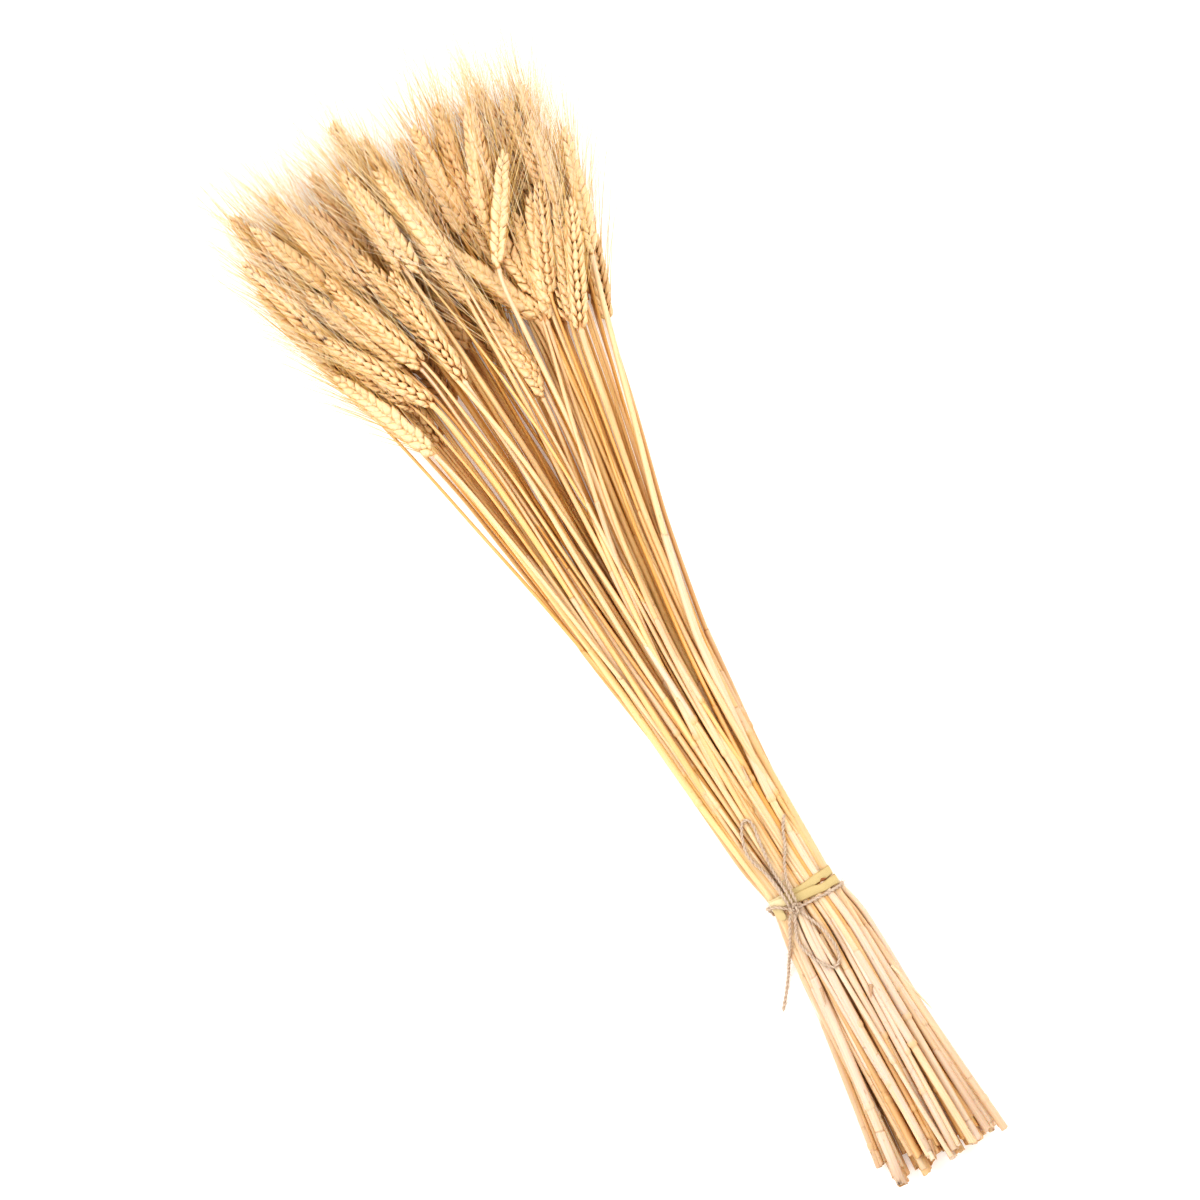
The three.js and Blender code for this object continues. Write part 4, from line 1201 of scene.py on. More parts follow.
# %% Read the forty stalks
EAR_END_RING = 0.6 * MM
THINNEST_STRAW = 1.0 * MM
EAR_CORE_RING = 1.5 * MM
SAME_RADIUS = 1e-5
JOINTS_BELOW = 150


def read_stalk(name):
    """The stalk that a solid node stands for."""
    rings = stalk_rings[name]
    radii = rings[:, 3]
    ear_end = rings[radii < EAR_END_RING][-1, :3]
    line = rings[(radii > THINNEST_STRAW) & (np.abs(radii - EAR_CORE_RING) > SAME_RADIUS), :3]
    heights = (rings[:, 1] - tie_y) / MM
    proud = radii - usual_radius(heights)
    joint_height = heights[np.argmax(np.where(heights < JOINTS_BELOW, proud, 0))]
    return Stalk(name, line[:-1], line[-1], ear_end, joint_height, int(name.split("_")[1]))


stalks = [read_stalk(name) for name in stalk_names]
print("ear lengths", [round(stalk.ear_length / MM) for stalk in stalks[:10]])

# %% [markdown]
# ## How far inside the bundle a place is
#
# Straws in the middle of the bundle get their light through the others, which turns it golden, and those
# along its edges don't. Light that has been through straw could be left to the renderer, but it would need
# every wall to be thin and clear. So the colour takes it up instead, from how far inside a place lies.

# %% From the edges to the middle
LEVELS = tie_y + np.arange(-150, 400, 10) * MM
ACROSS = np.array([stalk.middle_at(LEVELS)[0] for stalk in stalks])
LEFT_EDGE, RIGHT_EDGE = ACROSS.min(0), ACROSS.max(0)
EDGE_SHARE = 0.22


def inside_share(x, y):
    """1 well inside the bundle seen from above and 0 at its left and right edges, where light reaches all."""
    left, right = [np.interp(y, LEVELS, edge) for edge in (LEFT_EDGE, RIGHT_EDGE)]
    return np.clip(np.minimum(x - left, right - x) / (right - left) / EDGE_SHARE, 0, 1)


print("width at the tie", round(float(np.interp(tie_y, LEVELS, RIGHT_EDGE - LEFT_EDGE)) / MM, 1))

# %% [markdown]
# ## More stalks: midway between two neighbours
#
# The real bundle holds more stalks than the forty of the solid model, and hardly any table shows through it.
# The first kind of extra stalk runs midway between two neighbours in one row. It is slimmer, so that it
# takes the room that is left, and it bends as they do. The pairs that get one are listed. Copies of whole
# stalks, moved a little, would be quicker, but they would run through the others.

# %% Midway stalks
ROWS = (8, 9, 8, 9, 6)
BETWEEN = {0: range(7), 1: range(8), 2: (0, 2, 3, 5, 6), 3: (0, 1, 3, 5, 6, 7), 4: (2, 4)}
JOINT_HEIGHTS = (40, 110)
LINE_SPOTS = 24


def line_between(first, second, seed):
    """A slimmer stalk that runs midway between two neighbours."""
    rng = np.random.default_rng(seed)
    share = rng.uniform(0.4, 0.6)
    start = max(first.path.spots[0, 1], second.path.spots[0, 1])
    base_y = (first.base[1] + second.base[1]) / 2 + rng.uniform(-22, 14) * MM
    ear_length = rng.uniform(54, 64) * MM
    places = np.linspace(start + rng.uniform(0, 5) * MM, base_y, LINE_SPOTS)
    line = (first.middle_at(places) * (1 - share) + second.middle_at(places) * share).T
    way = unit(unit(first.ear_end - first.base) + unit(second.ear_end - second.base))
    return Stalk(f"between_{seed}", line[:-1], line[-1], line[-1] + way * ear_length,
                 rng.uniform(*JOINT_HEIGHTS), seed, slim=rng.uniform(0.72, 0.9))


fillers = []
first_of_row = 0
for row, length in enumerate(ROWS):
    for place in BETWEEN[row]:
        pair = stalks[first_of_row + place], stalks[first_of_row + place + 1]
        fillers.append(line_between(*pair, FIRST_FILLER + len(fillers)))
    first_of_row += length
print("midway stalks", len(fillers))

# %% [markdown]
# ## More stalks: across the top
#
# On top of the bundle a few stalks change places on their way to the ears. Each leaves the tie beside one
# stalk, arrives beside another, and lies over what is between. How high it has to lie is worked out from
# the straws under it, as one round straw rests on others. A fixed height would leave it in the air.

# %% Crossing stalks
CROSSINGS = [(26, 29), (31, 28), (30, 33), (34, 32), (36, 38), (39, 37), (27, 24), (33, 30)]
CROSSING_SPOTS = 60
CROSSING_RADIUS = 1.2 * MM
START_SHARE = 0.2
CROSSED_SHARE = 0.72
CLIMB_FROM = 25
CLIMB_TO = 90
COMES_DOWN_OVER = 60


def top_of_heap(x, y, radius):
    """How high a straw has to lie at a place so that it rests on the straws under it."""
    height = 0
    for other in stalks:
        if y > other.base[1]:
            continue
        middle, _, z = other.middle_at(y)
        reach = radius + usual_radius((y - tie_y) / MM)
        if abs(x - middle) < reach:
            height = max(height, z + math.sqrt(reach ** 2 - (x - middle) ** 2))
    return height


def crossing_stalk(first, second, seed):
    """A stalk that leaves the tie beside the first and ends beside the second, over what is between."""
    rng = np.random.default_rng(seed)
    base_y = second.base[1] + rng.uniform(-14, 4) * MM
    places = np.linspace(first.path.spots[0, 1] + 3 * MM, base_y, CROSSING_SPOTS)
    share = np.clip((places - tie_y) / (base_y - tie_y), -0.2, 1) * CROSSED_SHARE + START_SHARE
    line = (first.middle_at(places) * (1 - share) + second.middle_at(places) * share).T
    top = np.array([top_of_heap(x, y, CROSSING_RADIUS) for x, y, _ in line])
    top = np.array([top[max(0, n - 2):n + 3].max() for n in range(len(top))])
    base_height = (base_y - tie_y) / MM
    turns = [CLIMB_FROM, CLIMB_TO, base_height - COMES_DOWN_OVER, base_height]
    rise = np.interp((places - tie_y) / MM, turns, [0, 1, 1, 0])
    line[:, 2] = np.maximum(line[:, 2], line[:, 2] * (1 - rise) + top * rise)
    way = unit(unit(second.ear_end - second.base) + np.array([rng.uniform(-0.15, 0.15), 0, 0]))
    return Stalk(f"between_{seed}", line[:-1], line[-1], line[-1] + way * rng.uniform(54, 62) * MM,
                 rng.uniform(*JOINT_HEIGHTS), seed, slim=rng.uniform(0.75, 0.95))


crossing = []
for first, second in CROSSINGS:
    crossing.append(crossing_stalk(stalks[first - 1], stalks[second - 1], FIRST_FILLER + len(fillers)))
    crossing[-1].shown = True
    fillers.append(crossing[-1])
print("crossing stalks", len(crossing))

# %% [markdown]
# ## More stalks: where the table would show
#
# The gaps that are left are measured. At two heights below the ears every straw covers a stretch of table,
# and each bare stretch gets a slim stalk that leads there from the tie, bent as the stalks beside it are.
# Its ear lies low in the heap, where the table would show between two ears. Some ears more, in the notches
# of the fan, are listed in millimetres from the middle of the tie.

# %% Hidden stalks
BOW_RIGHT = 1.8
BOW_LEFT = 1.2
HIDDEN_CUT = -141
HIDDEN_FLARE = 0.85
HIDDEN_JOINT = 80
HIDDEN_SLIM = 0.8


def hidden_stalk(at_tie, base, tip, seed):
    """A slim stalk low in the heap, from a place x, z at the tie to an ear between its base and its tip."""
    base, tip = [TIE + np.array(spot) * MM for spot in (base, tip)]
    middle = TIE + np.array([at_tie[0], 0, at_tie[1]]) * MM
    cut = middle + np.array([at_tie[0] * HIDDEN_FLARE, HIDDEN_CUT, 0]) * MM
    line = [cut + (middle - cut) * share for share in np.linspace(0, 1, 8)]
    bow = BOW_RIGHT if base[0] > TIE[0] else BOW_LEFT
    line += [middle + (base - middle) * (share ** bow, share, share) for share in np.linspace(0.1, 1, 12)]
    return Stalk(f"between_{seed}", line[:-1], base, tip, HIDDEN_JOINT, seed, slim=HIDDEN_SLIM)


# %% Find the gaps
GAP_HEIGHTS = (290 * MM, 250 * MM)
GAP_WIDE = 1.3 * MM
GAP_STEP = 3 * MM
OPEN_RIGHT = 45 * MM
EAR_HALF = 5 * MM


def gaps(height):
    """Middles of the places where no straw covers the table at a height, and the tie's x that leads there."""
    y = tie_y + height
    spans = []
    for stalk in stalks + fillers:
        x, at_tie_x = [stalk.middle_at(place)[0] for place in (y, tie_y)]
        half = usual_radius(height / MM) * stalk.slim if y < stalk.base[1] else EAR_HALF
        spans.append((x - half, x + half, at_tie_x))
    spans.sort()
    found = []
    reach = spans[0][1]
    for low, high, at_tie_x in spans:
        if low - reach > GAP_WIDE:
            for share in np.linspace(0, 1, int((low - reach) / GAP_STEP) + 3)[1:-1]:
                found.append((reach + (low - reach) * share - TIE[0], at_tie_x - TIE[0]))
        reach = max(reach, high)
    return [place for place in found if place[0] < OPEN_RIGHT]


# %% Fill the gaps
HIDDEN_EAR = 58 * MM
HEIGHT_AT_TIE = 6
HEIGHT_AT_BASE = 9
HEIGHT_AT_TIP = 7
NOTCH_EARS = [
    ((0.0, 12), (6.5, 365, 16), (11.8, 427, 15)),
    ((-3.0, 9), (-8.0, 352, 12), (-8.0, 414, 10)),
    ((-10.3, 5), (-60.0, 350, 12), (-82.0, 408, 8)),
    ((-6.0, 14), (-36.0, 345, 14), (-52.0, 405, 11)),
    ((8.0, 11), (48.0, 372, 14), (60.0, 430, 10)),
]
for height in GAP_HEIGHTS:
    found = gaps(height)
    print("gaps at", height, [round(x / MM, 1) for x, _ in found])
    for x, at_tie_x in found:
        rng = np.random.default_rng(FIRST_FILLER + len(fillers))
        bow = BOW_RIGHT if x > 0 else BOW_LEFT
        base_y = height + rng.uniform(30, 75) * MM
        base_x = at_tie_x + (x - at_tie_x) * (base_y / height) ** bow
        tip_x = base_x + (base_x - at_tie_x) / base_y * HIDDEN_EAR
        base = base_x / MM, base_y / MM, HEIGHT_AT_BASE
        tip = tip_x / MM, (base_y + HIDDEN_EAR) / MM, HEIGHT_AT_TIP
        fillers.append(hidden_stalk((at_tie_x / MM, HEIGHT_AT_TIE), base, tip, FIRST_FILLER + len(fillers)))
for notch in NOTCH_EARS:
    fillers.append(hidden_stalk(*notch, FIRST_FILLER + len(fillers)))
print("stalks added so far", len(fillers))

# %% [markdown]
# ## More stalks: the last bare places
#
# Seen from above, the fan of ears is searched for the place that lies farthest from any ear. One more ear
# is put there and the search starts again, until every place has an ear near enough. A random scatter would
# need many more ears for the same cover.

# %% Bare places
EXTRA_EARS = 18
COVER = 5.5 * MM
SEARCHED = np.meshgrid(np.arange(-95, 75, 3.0), np.arange(330, 425, 3.0))
PAST_FAN = 12 * MM
EAR_SPOTS = 14
EXTRA_HALF = 29
TIE_SHARE = 0.12
EXTRA_HEIGHTS = (8, 10, 8)


def ear_line(stalk):
    """Places along the middle of an ear, seen from above."""
    return np.linspace(stalk.base[:2], stalk.ear_end[:2], EAR_SPOTS)


def bare_place(seen):
    """The place inside the fan of ears that lies farthest from any ear, and how far it is."""
    ends = np.array([stalk.ear_end[:2] for stalk in stalks])
    turns = np.arctan2(*(ends - TIE[:2]).T)
    grid = np.stack(SEARCHED, -1).reshape(-1, 2) * MM + TIE[:2]
    turn = np.arctan2(*(grid - TIE[:2]).T)
    far = np.linalg.norm(grid - TIE[:2], axis=1)
    order = np.argsort(turns)
    limit = np.interp(turn, turns[order], np.linalg.norm(ends - TIE[:2], axis=1)[order])
    grid = grid[(turn > turns.min()) & (turn < turns.max()) & (far < limit + PAST_FAN)]
    nearest = np.min(np.linalg.norm(grid[:, None] - np.array(seen)[None], axis=2), axis=1)
    return grid[np.argmax(nearest)], nearest.max()


seen = [spot for stalk in stalks + fillers for spot in ear_line(stalk)]
for _ in range(EXTRA_EARS):
    spot, distance = bare_place(seen)
    if distance < COVER:
        break
    middle = (spot - TIE[:2]) / MM
    half = unit(middle) * EXTRA_HALF
    at_tie, at_base, at_tip = EXTRA_HEIGHTS
    base, tip = (*(middle - half), at_base), (*(middle + half), at_tip)
    fillers.append(hidden_stalk((middle[0] * TIE_SHARE, at_tie), base, tip, FIRST_FILLER + len(fillers)))
    seen += list(ear_line(fillers[-1]))
print("straws between the others", len(fillers), "farthest bare place", round(distance / MM, 1))

# %% [markdown]
# ## The straw
#
# A straw is a hollow tube, cut open at one end. Its joints are swollen. Above a joint the leaf's sheath
# still wraps it for a way: there it is paler and a little thicker, up to an edge that is seldom square. A
# curve with a bevel would give a plain tube, so the rings are worked out one by one, closely spaced at
# joints and edges, and each spot knows whether it is on the sheath or past its edge.

# %% Places along a straw
WALL = 0.45 * MM
HOLLOW = 9 * MM
SHEATH = 0.22 * MM
JOINT_SWELL = 0.22 * MM
JOINT_HALF = 1.6 * MM
CUT_END_STRAY = 3.5 * MM
NO_SHEATH = -400
EVEN_STEP = 6 * MM
AT_CUT = np.array([0, 0.6, 2]) * MM
AT_JOINT = np.array([-5, -3, -2.2, -1.6, -1, 0, 1, 1.6, 2.2, 3, 5]) * MM
AT_EDGE = np.arange(-2.4, 2.5, 0.6) * MM
AT_EAR = np.array([-3, -1.5, -0.5, 0]) * MM
FULL_TURN = 6.28


def bump_at(places, middle, half):
    """1 at the middle, falling off to both sides."""
    return np.exp(-((places - middle) / half) ** 2)


def step_at(places, middle, half):
    """1 before the middle and 0 after it."""
    return np.clip((middle - places) / half + 0.5, 0, 1)


def straw_places(stalk):
    """Where the rings of a straw lie, where its three sheaths end, and where its lower joint is."""
    rng = stalk.rng
    top_sheath = min(stalk.place_at_height(rng.uniform(95, 225)), stalk.base_at - 45 * MM)
    low_joint = stalk.place_at_height(rng.uniform(-135, -55))
    low_sheath = stalk.place_at_height(rng.uniform(-50, 35))
    torn_sheath = stalk.place_at_height(rng.choice([rng.uniform(-145, -80), NO_SHEATH]))
    ends = np.array([torn_sheath, low_sheath, top_sheath])
    places = np.r_[AT_CUT, np.arange(EVEN_STEP, stalk.base_at, EVEN_STEP), stalk.base_at + AT_EAR,
                   stalk.joint_at + AT_JOINT, low_joint + AT_JOINT, (ends[:, None] + AT_EDGE).ravel()]
    places = np.unique(places[(places >= 0) & (places <= stalk.base_at)].round(5))
    return places, ends, low_joint


# %% The shape of a straw
class Surface:
    """The rings of one straw, upright, and what lies where on them: sheaths, their edges and the joints."""

    def __init__(self, stalk, sides):
        rng = stalk.rng
        places, ends, low_joint = straw_places(stalk)
        angles = np.linspace(0, 2 * math.pi, sides, endpoint=False)
        heights = (np.interp(places, stalk.path.reach, stalk.path.spots[:, 1]) - tie_y) / MM
        radii = usual_radius(heights) * stalk.slim * rng.uniform(0.82, 1.18)
        if stalk.shown:
            radii = radii * np.interp(heights, *NECK_FULLER.T)
        slants = rng.uniform(0.2, 1.8, 3) * MM
        turns = rng.uniform(0, FULL_TURN, 3)
        edges = ends[:, None] + slants[:, None] * np.cos(angles + turns[:, None])
        steps = [step_at(places[:, None], edge, 0.4 * MM) for edge in edges]
        past_low = 1 - step_at(places, low_joint, 2 * MM)[:, None]
        past_top = 1 - step_at(places, stalk.joint_at, 2 * MM)[:, None]
        self.wrapped = steps[0] * (1 - past_low) + steps[1] * past_low * (1 - past_top) + steps[2] * past_top
        self.joints = sum(step_at(np.abs(places - joint), JOINT_HALF, 0.8 * MM)
                          for joint in (stalk.joint_at, low_joint))
        self.rims = sum(bump_at(np.abs(places - joint), JOINT_HALF + 0.3 * MM, 0.45 * MM)
                        for joint in (stalk.joint_at, low_joint))
        self.places, self.angles, self.heights, self.edges = places, angles, heights, edges
        self.radii = radii
        self.outside = self.outer_rings(stalk)

    def outer_rings(self, stalk):
        """The outer rings: a tube that is a little flat, a little wavy, and splayed and cut uneven below."""
        rng = stalk.rng
        collar = bump_at(self.places, stalk.base_at - 0.4 * MM, 0.8 * MM)
        radius = self.radii[:, None] - SHEATH * (1 - self.wrapped) * (1 - self.joints[:, None])
        radius = radius + ((JOINT_SWELL * self.joints - 0.1 * MM * self.rims) + 0.35 * MM * collar)[:, None]
        flat = rng.uniform(0.03, 0.2) * np.interp(self.heights, [0, 200], [1, 0.2])
        radius = radius * (1 + flat[:, None] * np.cos(2 * (self.angles + rng.normal(0, 0.5))))
        wave = 0
        for _ in range(2):
            depth = rng.uniform(0.1, 0.28) * MM
            wave = wave + depth * np.sin(self.places / rng.uniform(12, 45) / MM + rng.uniform(0, FULL_TURN))
        wave = (wave * np.interp(self.heights, [-150, -12, 0, 12, 60], [1, 0, 0, 0, 1]))[:, None]
        sway = rng.uniform(0, FULL_TURN)
        in_top_rows, in_top_row = np.clip([stalk.seed - 25, stalk.seed - 34], 0, 1)
        stray = CUT_END_STRAY * (1 + 0.7 * in_top_rows + 0.4 * in_top_row)
        splay = (rng.uniform(-1, 1) * stray * np.clip((-self.heights - 20) / 130, 0, 1) ** 1.2)[:, None]
        outside = np.stack([radius * np.cos(self.angles) + wave * math.cos(sway) + splay,
                            radius * np.sin(self.angles) + wave * math.sin(sway) * 0.5,
                            self.places[:, None] + 0 * self.angles], -1)
        slant = rng.uniform(-0.9, 0.9) * np.cos(self.angles + rng.uniform(0, FULL_TURN))
        outside[:2, :, 2] += (slant + rng.uniform(-0.3, 0.3, len(self.angles))) * self.radii[0]
        return outside


# %% The colours of a straw
def straw_colours(stalk, surface):
    """What the straw's material needs to know of each outer spot, and the tone of the whole straw."""
    rng = stalk.rng
    places, heights, wrapped, joints = surface.places, surface.heights, surface.wrapped, surface.joints
    gold = rng.uniform(0.45, 1.0)
    sheath_gold = rng.choice([0.1, 0.3, 0.5, 0.8], p=[0.2, 0.3, 0.3, 0.2])
    upper = np.clip((heights + 35) / 85, 0, 1)[:, None]
    near_ear = np.clip((places - stalk.base_at + 40 * MM) / (40 * MM), 0, 1)[:, None]
    bare = rng.uniform(0.1, 0.35) * (1 - upper) + gold * upper - 0.3 * near_ear
    ripe = (sheath_gold * upper) * wrapped + bare * (1 - wrapped)
    x, y, _ = [np.interp(places, stalk.path.reach, row) for row in stalk.path.spots.T]
    inside = inside_share(x, y)
    # Painted shade: straws that don't show are riper towards the middle of the bundle.
    ripe = ripe + (1 - ripe) * (0.0 if stalk.shown else 0.5) * inside[:, None]
    bleach_from, bleach_long = rng.uniform(-130, 60), rng.uniform(18, 45)
    stretch = np.clip(np.minimum(heights - bleach_from, bleach_from + bleach_long - heights) / 2, 0, 1)
    bleach = rng.choice([0.0, 0.3, 1.0], p=[0.55, 0.25, 0.2]) * wrapped * stretch[:, None]
    # Painted shade: the sides and the underside of each straw turn golden, more so inside the bundle.
    painted_side_shade = (0.15 + 0.4 * inside[:, None]) * np.clip((0.45 - np.sin(surface.angles)) / 0.5, 0, 1)
    joint_show = rng.uniform(0.1, 0.6)
    mark = (0.35 * surface.rims[:, None] + 0.12 * joints[:, None]) * joint_show
    for edge, strength in zip(surface.edges, (0.5, 0.35, 0.6)):
        mark = mark + strength * bump_at(places[:, None], edge + 0.3 * MM, 0.35 * MM)
    mark = mark + rng.choice([0, 0, 0, 0.3]) * bump_at(places, 0, 12 * MM)[:, None]
    mark = mark * rng.uniform(0.5, 1.2)
    # Painted shade: straws that don't show get a deeper golden tone.
    tone = rng.uniform(0, 0.5) if stalk.shown else rng.uniform(0.3, 0.9)
    return {"ripe": ripe, "mark": mark, "joint": joints[:, None] * joint_show + 0 * mark,
            "bleached": bleach * (1 - joints[:, None]), "hidden": painted_side_shade}, tone


# %% One straw
# Painted shade: inside the cut hollow and in the stem within the ear the straw is darker and more golden.
IN_THE_HOLLOW = {"ripe": 0.6, "mark": 0.45, "joint": 0, "bleached": 0, "hidden": 0.5}
IN_THE_EAR = {"ripe": 0.5, "mark": 0.2, "joint": 0, "bleached": 0, "hidden": 0.5}
NECK_SHARES = np.array([0.6, 0.35])
GRAIN_RADIUS = 1.9 * MM
LOWEST_STRAW = 0.1 * MM


def straw_object(stalk, sides):
    """One straw with its hollow cut end, and a thin stem that runs on into the ear."""
    surface = Surface(stalk, sides)
    outer = surface.outside
    wall = outer[:1].copy()
    middle = wall.mean(1, keepdims=True)
    wall[..., :2] = middle[..., :2] + (wall - middle)[..., :2] * (1 - WALL / surface.radii[0])
    deep = wall.copy()
    deep[..., 2] = HOLLOW
    neck = (NECK_SHARES * surface.radii[-1])[:, None]
    rachis_at = stalk.base_at + np.array([2 * MM, stalk.ear_length * 0.9])
    rachis = np.stack([neck * np.cos(surface.angles), neck * np.sin(surface.angles),
                       rachis_at[:, None] + 0 * surface.angles], -1)
    upright = np.concatenate([deep, wall, outer, rachis])
    start = stalk.path.bend(np.array([[*middle[0, 0, :2], HOLLOW]]))[0]
    end = stalk.path.bend(np.array([[0, 0, rachis_at[-1] + MM]]))[0]
    bent = stalk.path.bend(upright)
    bent[..., 2] = np.maximum(bent[..., 2], LOWEST_STRAW)
    spots, faces = skin(bent, start, end)

    rows, tone = straw_colours(stalk, surface)
    around = np.stack([np.cos(surface.angles), np.sin(surface.angles)], 1) * GRAIN_RADIUS
    grain = np.column_stack([np.tile(around, (len(upright), 1)), upright[..., 2].ravel()])
    grain = np.concatenate([grain[:1], grain, grain[-1:]])
    grain[:, 2] += stalk.seed * 1.7
    closed = 2 * sides + 1
    everywhere = {}
    for key, row in rows.items():
        values = np.r_[[IN_THE_HOLLOW[key]] * closed, row.ravel(), [IN_THE_EAR[key]] * closed]
        everywhere[key] = values.clip(0, 1)
    return mesh_object(stalk.name + "_straw", spots, faces, straw, grain=grain, tone=tone, **everywhere)


# %% [markdown]
# ## Every stalk
#
# The ear is grown upright with its own seed, rolled about its stem, and bent onto the straw's line. What
# would sink below the table is laid down on it, and what would stand above the heap lies over. Straw and
# ear become one object, which stands for the stalk's plain solid. The ears on top are turned one by one, so
# that they show the side that they show on the real bundle. Ears low in the heap get painted shade that makes
# them more golden, and the added ones low in it are plainer and have few awns, because only glimpses of them
# are seen.

# %% Lay an ear down
TABLE_GAP = 0.25 * MM
HEAP_TOP = cad_box[1][2]
SIDE_REACH = cad_box[1][0] + 14.5 * MM
AWN_REACH = cad_box[1][1] + 27 * MM


def eased(values, limit, ease):
    """Values that slow down over the last stretch before a limit and never pass it."""
    over = np.maximum(values - (limit - ease), 0)
    return np.minimum(values, limit - ease) + ease * (1 - np.exp(-over / ease))


def settle(spots):
    """Awns lie down on the table and on the heap, and none reaches past the outline of the bundle."""
    x, y, z = spots.T
    z = -eased(-z, -TABLE_GAP, 2 * MM)
    z = eased(z, HEAP_TOP, 7 * MM)
    x = eased(x, SIDE_REACH, 8 * MM)
    x = -eased(-x, SIDE_REACH, 8 * MM)
    return np.column_stack([x, eased(y, AWN_REACH, 16 * MM), z])


# %% One ear
SPIKELET_PITCH = 2.6 * MM
SHADE_TOP = 34 * MM
SHADE_END = 300 * MM
SHADE_FADE = 60 * MM
EAR_ROLLS = {"stalk_39": 0, "stalk_35": 8, "stalk_36": 80, "stalk_27": 95, "stalk_37": 15, "stalk_38": 70,
             "stalk_34": 100, "stalk_40": 20, "stalk_33": 5, "stalk_29": 85, "stalk_32": 10}


def ear_values(stalk, shape, beards):
    """What the ear's tree is given for one stalk."""
    rng = stalk.rng
    lean, awn_lean, awn_size, plump = [
        float(rng.uniform(*ends)) for ends in ((0.52, 0.64), (0.14, 0.25), (0.85, 1.1), (0.96, 1.16))]
    # Painted shade: ears of stalks that don't show are riper, so more golden.
    ripe = float(rng.uniform(0, 0.35) + rng.choice([0, 0.6], p=[0.78, 0.22]) + (0 if stalk.shown else 0.2))
    return {
        "Husk": shape, "Straight Awn": one_awn[0], "Bowed Awn": one_awn[1],
        "Spikelets": int(round(stalk.ear_length / SPIKELET_PITCH)), "Ear Length": float(stalk.ear_length),
        "Rank Offset": 0.2 * MM, "Fan Width": 1.6 * MM, "Lean": lean, "Awn Lean": awn_lean,
        "Awn Size": awn_size, "Plumpness": plump, "Ripeness": ripe, "Beards": beards,
        "Seed": stalk.seed * 50, "Husk Material": husk, "Awn Material": awn,
    }


def ear_object(stalk, shape, beards):
    """One ear, grown upright, rolled, bent onto its stalk's line and laid down."""
    ear = grown(seed_bed, ear_graph, ear_values(stalk, shape, beards), stalk.name + "_ear")
    spots = np.zeros(len(ear.data.vertices) * 3)
    ear.data.vertices.foreach_get("co", spots)
    x, y, z = spots.reshape(-1, 3).T
    roll = math.radians(EAR_ROLLS.get(stalk.name, stalk.rng.uniform(0, 360)))
    rolled = [x * math.cos(roll) - y * math.sin(roll), x * math.sin(roll) + y * math.cos(roll), z]
    spots = settle(stalk.path.bend(np.stack(rolled, 1), stalk.base_at))
    ear.data.vertices.foreach_set("co", spots.ravel())
    # Painted shade: the lower and the farther inside the bundle a spot of the ear lies, the more golden it is
    # painted.
    deep = np.clip(1 - spots[:, 2] / SHADE_TOP, 0, 1) * inside_share(spots[:, 0], spots[:, 1])
    deep *= np.clip((SHADE_END - spots[:, 1]) / SHADE_FADE, 0, 1)
    ear.data.attributes.new("deep", "FLOAT", "POINT").data.foreach_set("value", deep)
    ear.data.polygons.foreach_set("use_smooth", [True] * len(ear.data.polygons))
    return ear


# %% Dress the stalks
FULL_EARS_FROM = 18
STALK_SIDES = 10
FILLER_SIDES = 8
FULL_EAR = (one_husk, 0.8)
PLAIN_EAR = (plain_husk, 0.5)
LEAN_EAR = (lean_husk, 0.22)


def dress(stalk, sides, shape, beards):
    """One stalk as one piece."""
    piece = join([straw_object(stalk, sides), ear_object(stalk, shape, beards)], stalk.name + "_wheat")
    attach(piece, "root")
    piece.data.calc_loop_triangles()
    return piece, len(piece.data.loop_triangles)


total = 0
for stalk in stalks:
    piece, count = dress(stalk, STALK_SIDES, *(FULL_EAR if stalk.seed >= FULL_EARS_FROM else PLAIN_EAR))
    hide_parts(stalk.name)
    total += count
for stalk in fillers:
    total += dress(stalk, FILLER_SIDES, *(PLAIN_EAR if stalk in crossing else LEAN_EAR))[1]
print("triangles in all stalks", total)

# %% [markdown]
# ## Loose bits
#
# A real bundle sheds. A splinter of straw stands off at the right of the cut ends, a scrap of dried leaf
# and torn ends of sheaths are caught on the straws, a single grain hangs among them, and one broken awn
# lies across the ears. Each scrap is a thin strip with a pointed end that curls away from where it is held.
# The last one is a dark strip of painted shade under the band, where its slit shows it.

# %% Scraps of leaf and sheath
SCRAP_THICK = 0.22 * MM
FREE_HEIGHT = 16 * MM
SCRAPS = [
    {"start": (19.6, -54), "end": (26.8, -85), "wide": 1.5, "rise": -3.0, "mark": 0.0, "bleached": 0.2},
    {"start": (14.0, 171), "end": (16.4, 178), "wide": 1.7, "rise": 1.6, "mark": 0.0, "bleached": 1.0},
    {"start": (6.0, -56), "end": (2.4, -62), "wide": 1.9, "rise": 0.8, "mark": 0.55, "bleached": 0.1},
    {"start": (-3.2, -22), "end": (-3.6, -35), "wide": 1.5, "rise": 0.7, "mark": 0.35, "bleached": 0.0},
    {"start": (-16.6, -46), "end": (-18.8, -55), "wide": 1.4, "rise": 0.9, "mark": 0.4, "bleached": 0.1},
    {"start": (-7.6, -138), "end": (-9.4, -149), "wide": 1.8, "rise": 0.7, "mark": 0.5, "bleached": 0.0},
    {"start": (8.6, 118), "end": (9.8, 131), "wide": 1.6, "rise": 1.0, "mark": 0.1, "bleached": 0.5},
    {"start": (-6.4, 152), "end": (-8.2, 166), "wide": 1.4, "rise": 1.2, "mark": 0.15, "bleached": 0.3},
    {"start": (3.6, 60), "end": (4.8, 71), "wide": 1.6, "rise": 0.8, "mark": 0.3, "bleached": 0.2},
    # Painted shade: a dark strip under the band's slit.
    {"start": (6.6, 1.6), "end": (13.4, 0.4), "wide": 2.6, "rise": 0.0, "mark": 1.0, "bleached": 0.0},
]


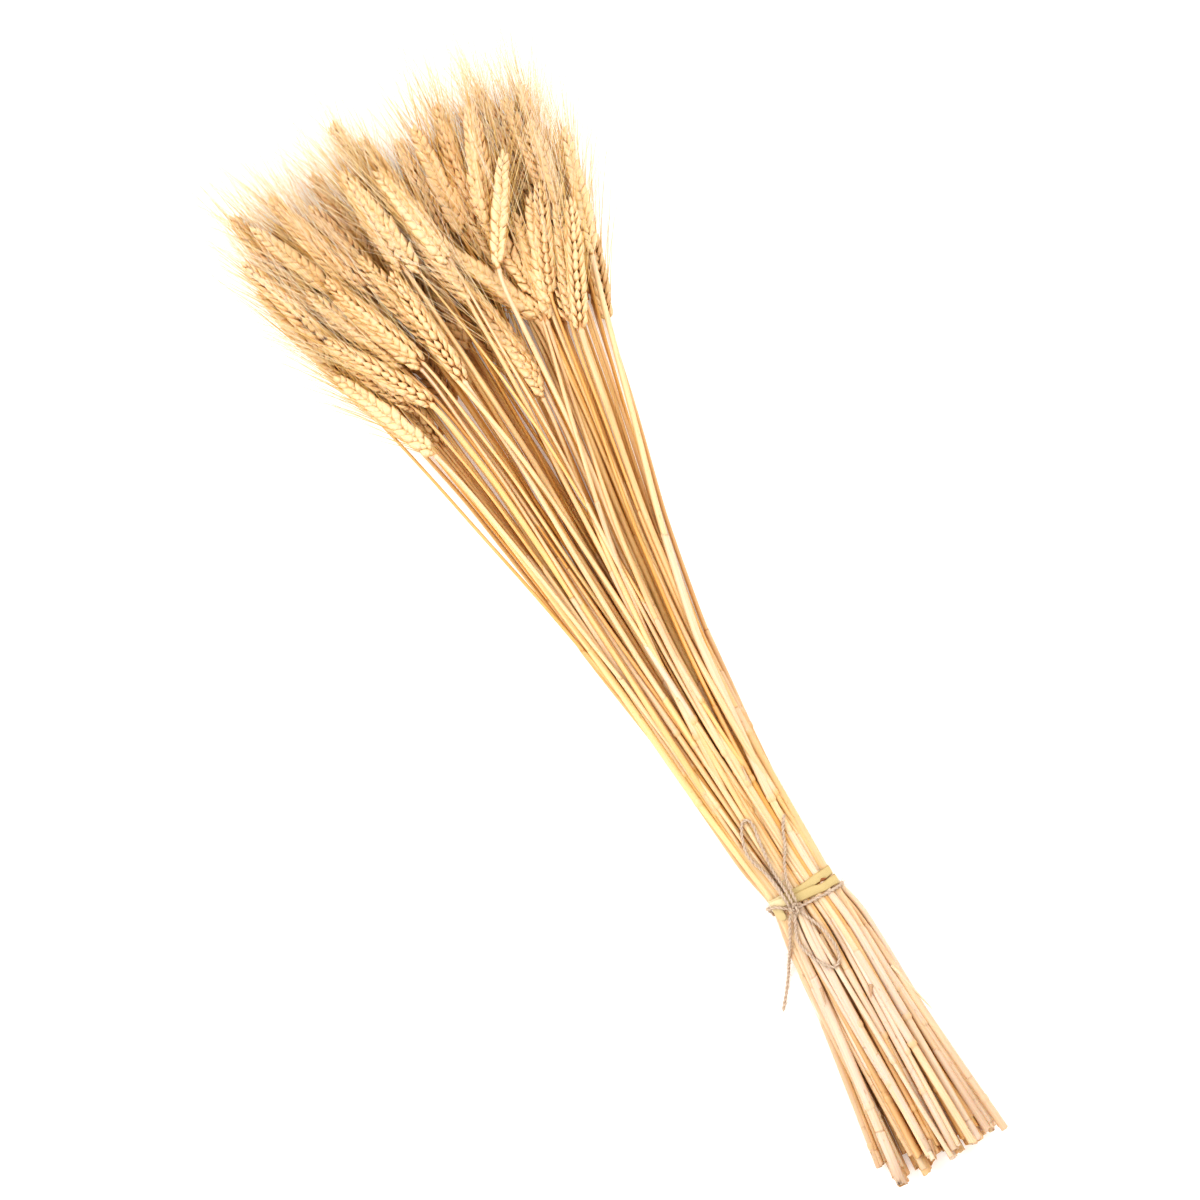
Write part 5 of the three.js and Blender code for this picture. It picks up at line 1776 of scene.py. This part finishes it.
def scrap(name, start, end, wide, rise, mark, bleached):
    """A curled strip from where it is held on a straw to its torn point."""
    ends = np.array([start, end]) * MM
    share = np.linspace(0, 1, 9)[:, None]
    flat = TIE[:2] + ends[0] + (ends[1] - ends[0]) * share
    base = top_of_heap(*flat[0], 0.3 * MM) or FREE_HEIGHT
    way = unit(ends[1] - ends[0])
    across = np.array([-way[1], way[0]])
    half = wide * MM / 2 * (1 - share ** 2.5) * (1 + 0.15 * np.sin(9 * share))
    side = np.linspace(-1, 1, 4)
    x, y = [flat[:, axis:axis + 1] + across[axis] * half * side for axis in (0, 1)]
    z = base + rise * MM * share ** 1.6 - 0.35 * MM * side ** 2 + 0 * x
    upper = np.stack([x, y, z + SCRAP_THICK / 2], -1)
    lower = np.stack([x, y, z - SCRAP_THICK / 2], -1)
    spots, faces = skin(np.concatenate([upper, lower[:, ::-1]], 1), upper[0].mean(0), upper[-1].mean(0))
    grain = np.stack([spots[:, 0], spots[:, 2], spots[:, 1]], 1)
    return mesh_object(name, spots, [face[::-1] for face in faces], straw, grain=grain, ripe=0.3, joint=0.0,
                       mark=mark, bleached=bleached, hidden=0.0, tone=0.3)


loose = [scrap(f"scrap_{n}", **values) for n, values in enumerate(SCRAPS)]

# %% A hanging grain and a broken awn
GRAIN_PLACE = (9.4, 290)
BROKEN_AWN = ((38.3, 354, 37), (83.6, 370, 24))


def laid_along(piece, start, end):
    """Moves a piece modelled along Z so that it runs from start towards end."""
    start, end = np.array(start), np.array(end)
    way = unit(end - start)
    side = unit(np.cross([0, 0, 1], way))
    spots = np.array([v.co for v in piece.data.vertices])
    placed = start + spots[:, :1] * np.cross(way, side) + spots[:, 1:2] * side + spots[:, 2:] * way
    piece.data.vertices.foreach_set("co", placed.ravel())
    return piece


grain_start = TIE + np.array([*GRAIN_PLACE, 0]) * MM
grain_start[2] = top_of_heap(*grain_start[:2], 1.5 * MM) + 1 * MM
grain_end = grain_start + np.array([-3.0, -8.5, -0.6]) * MM
loose.append(laid_along(husk_shape("grain", 9, HUSK_OUTLINE), grain_end, grain_start))
awn_start, awn_end = [TIE + np.array(spot) * MM for spot in BROKEN_AWN]
broken = bristle("broken", np.linalg.norm(awn_end - awn_start), 0.2 * MM, 0.06 * MM, 1.5 * MM, 8, awn)
loose.append(laid_along(broken, awn_start, awn_end))
bits = join(loose, "loose_bits")
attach(bits, "root")
print("loose bits", len(SCRAPS), "scraps, faces", len(bits.data.polygons))

# %% [markdown]
# ## Clear up and set the table
#
# The shapes that were only copied from are removed, so that they don't lie at the origin. The table is a
# wide white plane under the bundle, which glows a little, as a lit table in an overexposed photograph does.

# %% Table
for spare in (one_husk, plain_husk, lean_husk, *one_awn, hair, seed_bed):
    bpy.data.objects.remove(spare)


def table_finish(graph):
    grain = noise(graph, graph.add("ShaderNodeTexCoord", out="Object"), scale=40.0)
    colour = graph.mix(grain, (0.91, 0.89, 0.88, 1), (0.93, 0.91, 0.90, 1))
    return colour, grain * 0.1 + 0.7, grain


TABLE_GLOW = 0.16
table_white = finish("table_white", table_finish, bump=0.0, specular=0.1)
table_shader = table_white.node_tree.nodes["Principled BSDF"]
table_shader.inputs["Emission Color"].default_value = (1, 0.99, 0.985, 1)
table_shader.inputs["Emission Strength"].default_value = TABLE_GLOW
TABLE_HALF = 3.0
corners = [(x * TABLE_HALF, y * TABLE_HALF, 0) for x, y in ((-1, -1), (1, -1), (1, 1), (-1, 1))]
table = mesh_object("table", corners, [[0, 1, 2, 3]], table_white)
print("table", 2 * TABLE_HALF, "m wide")
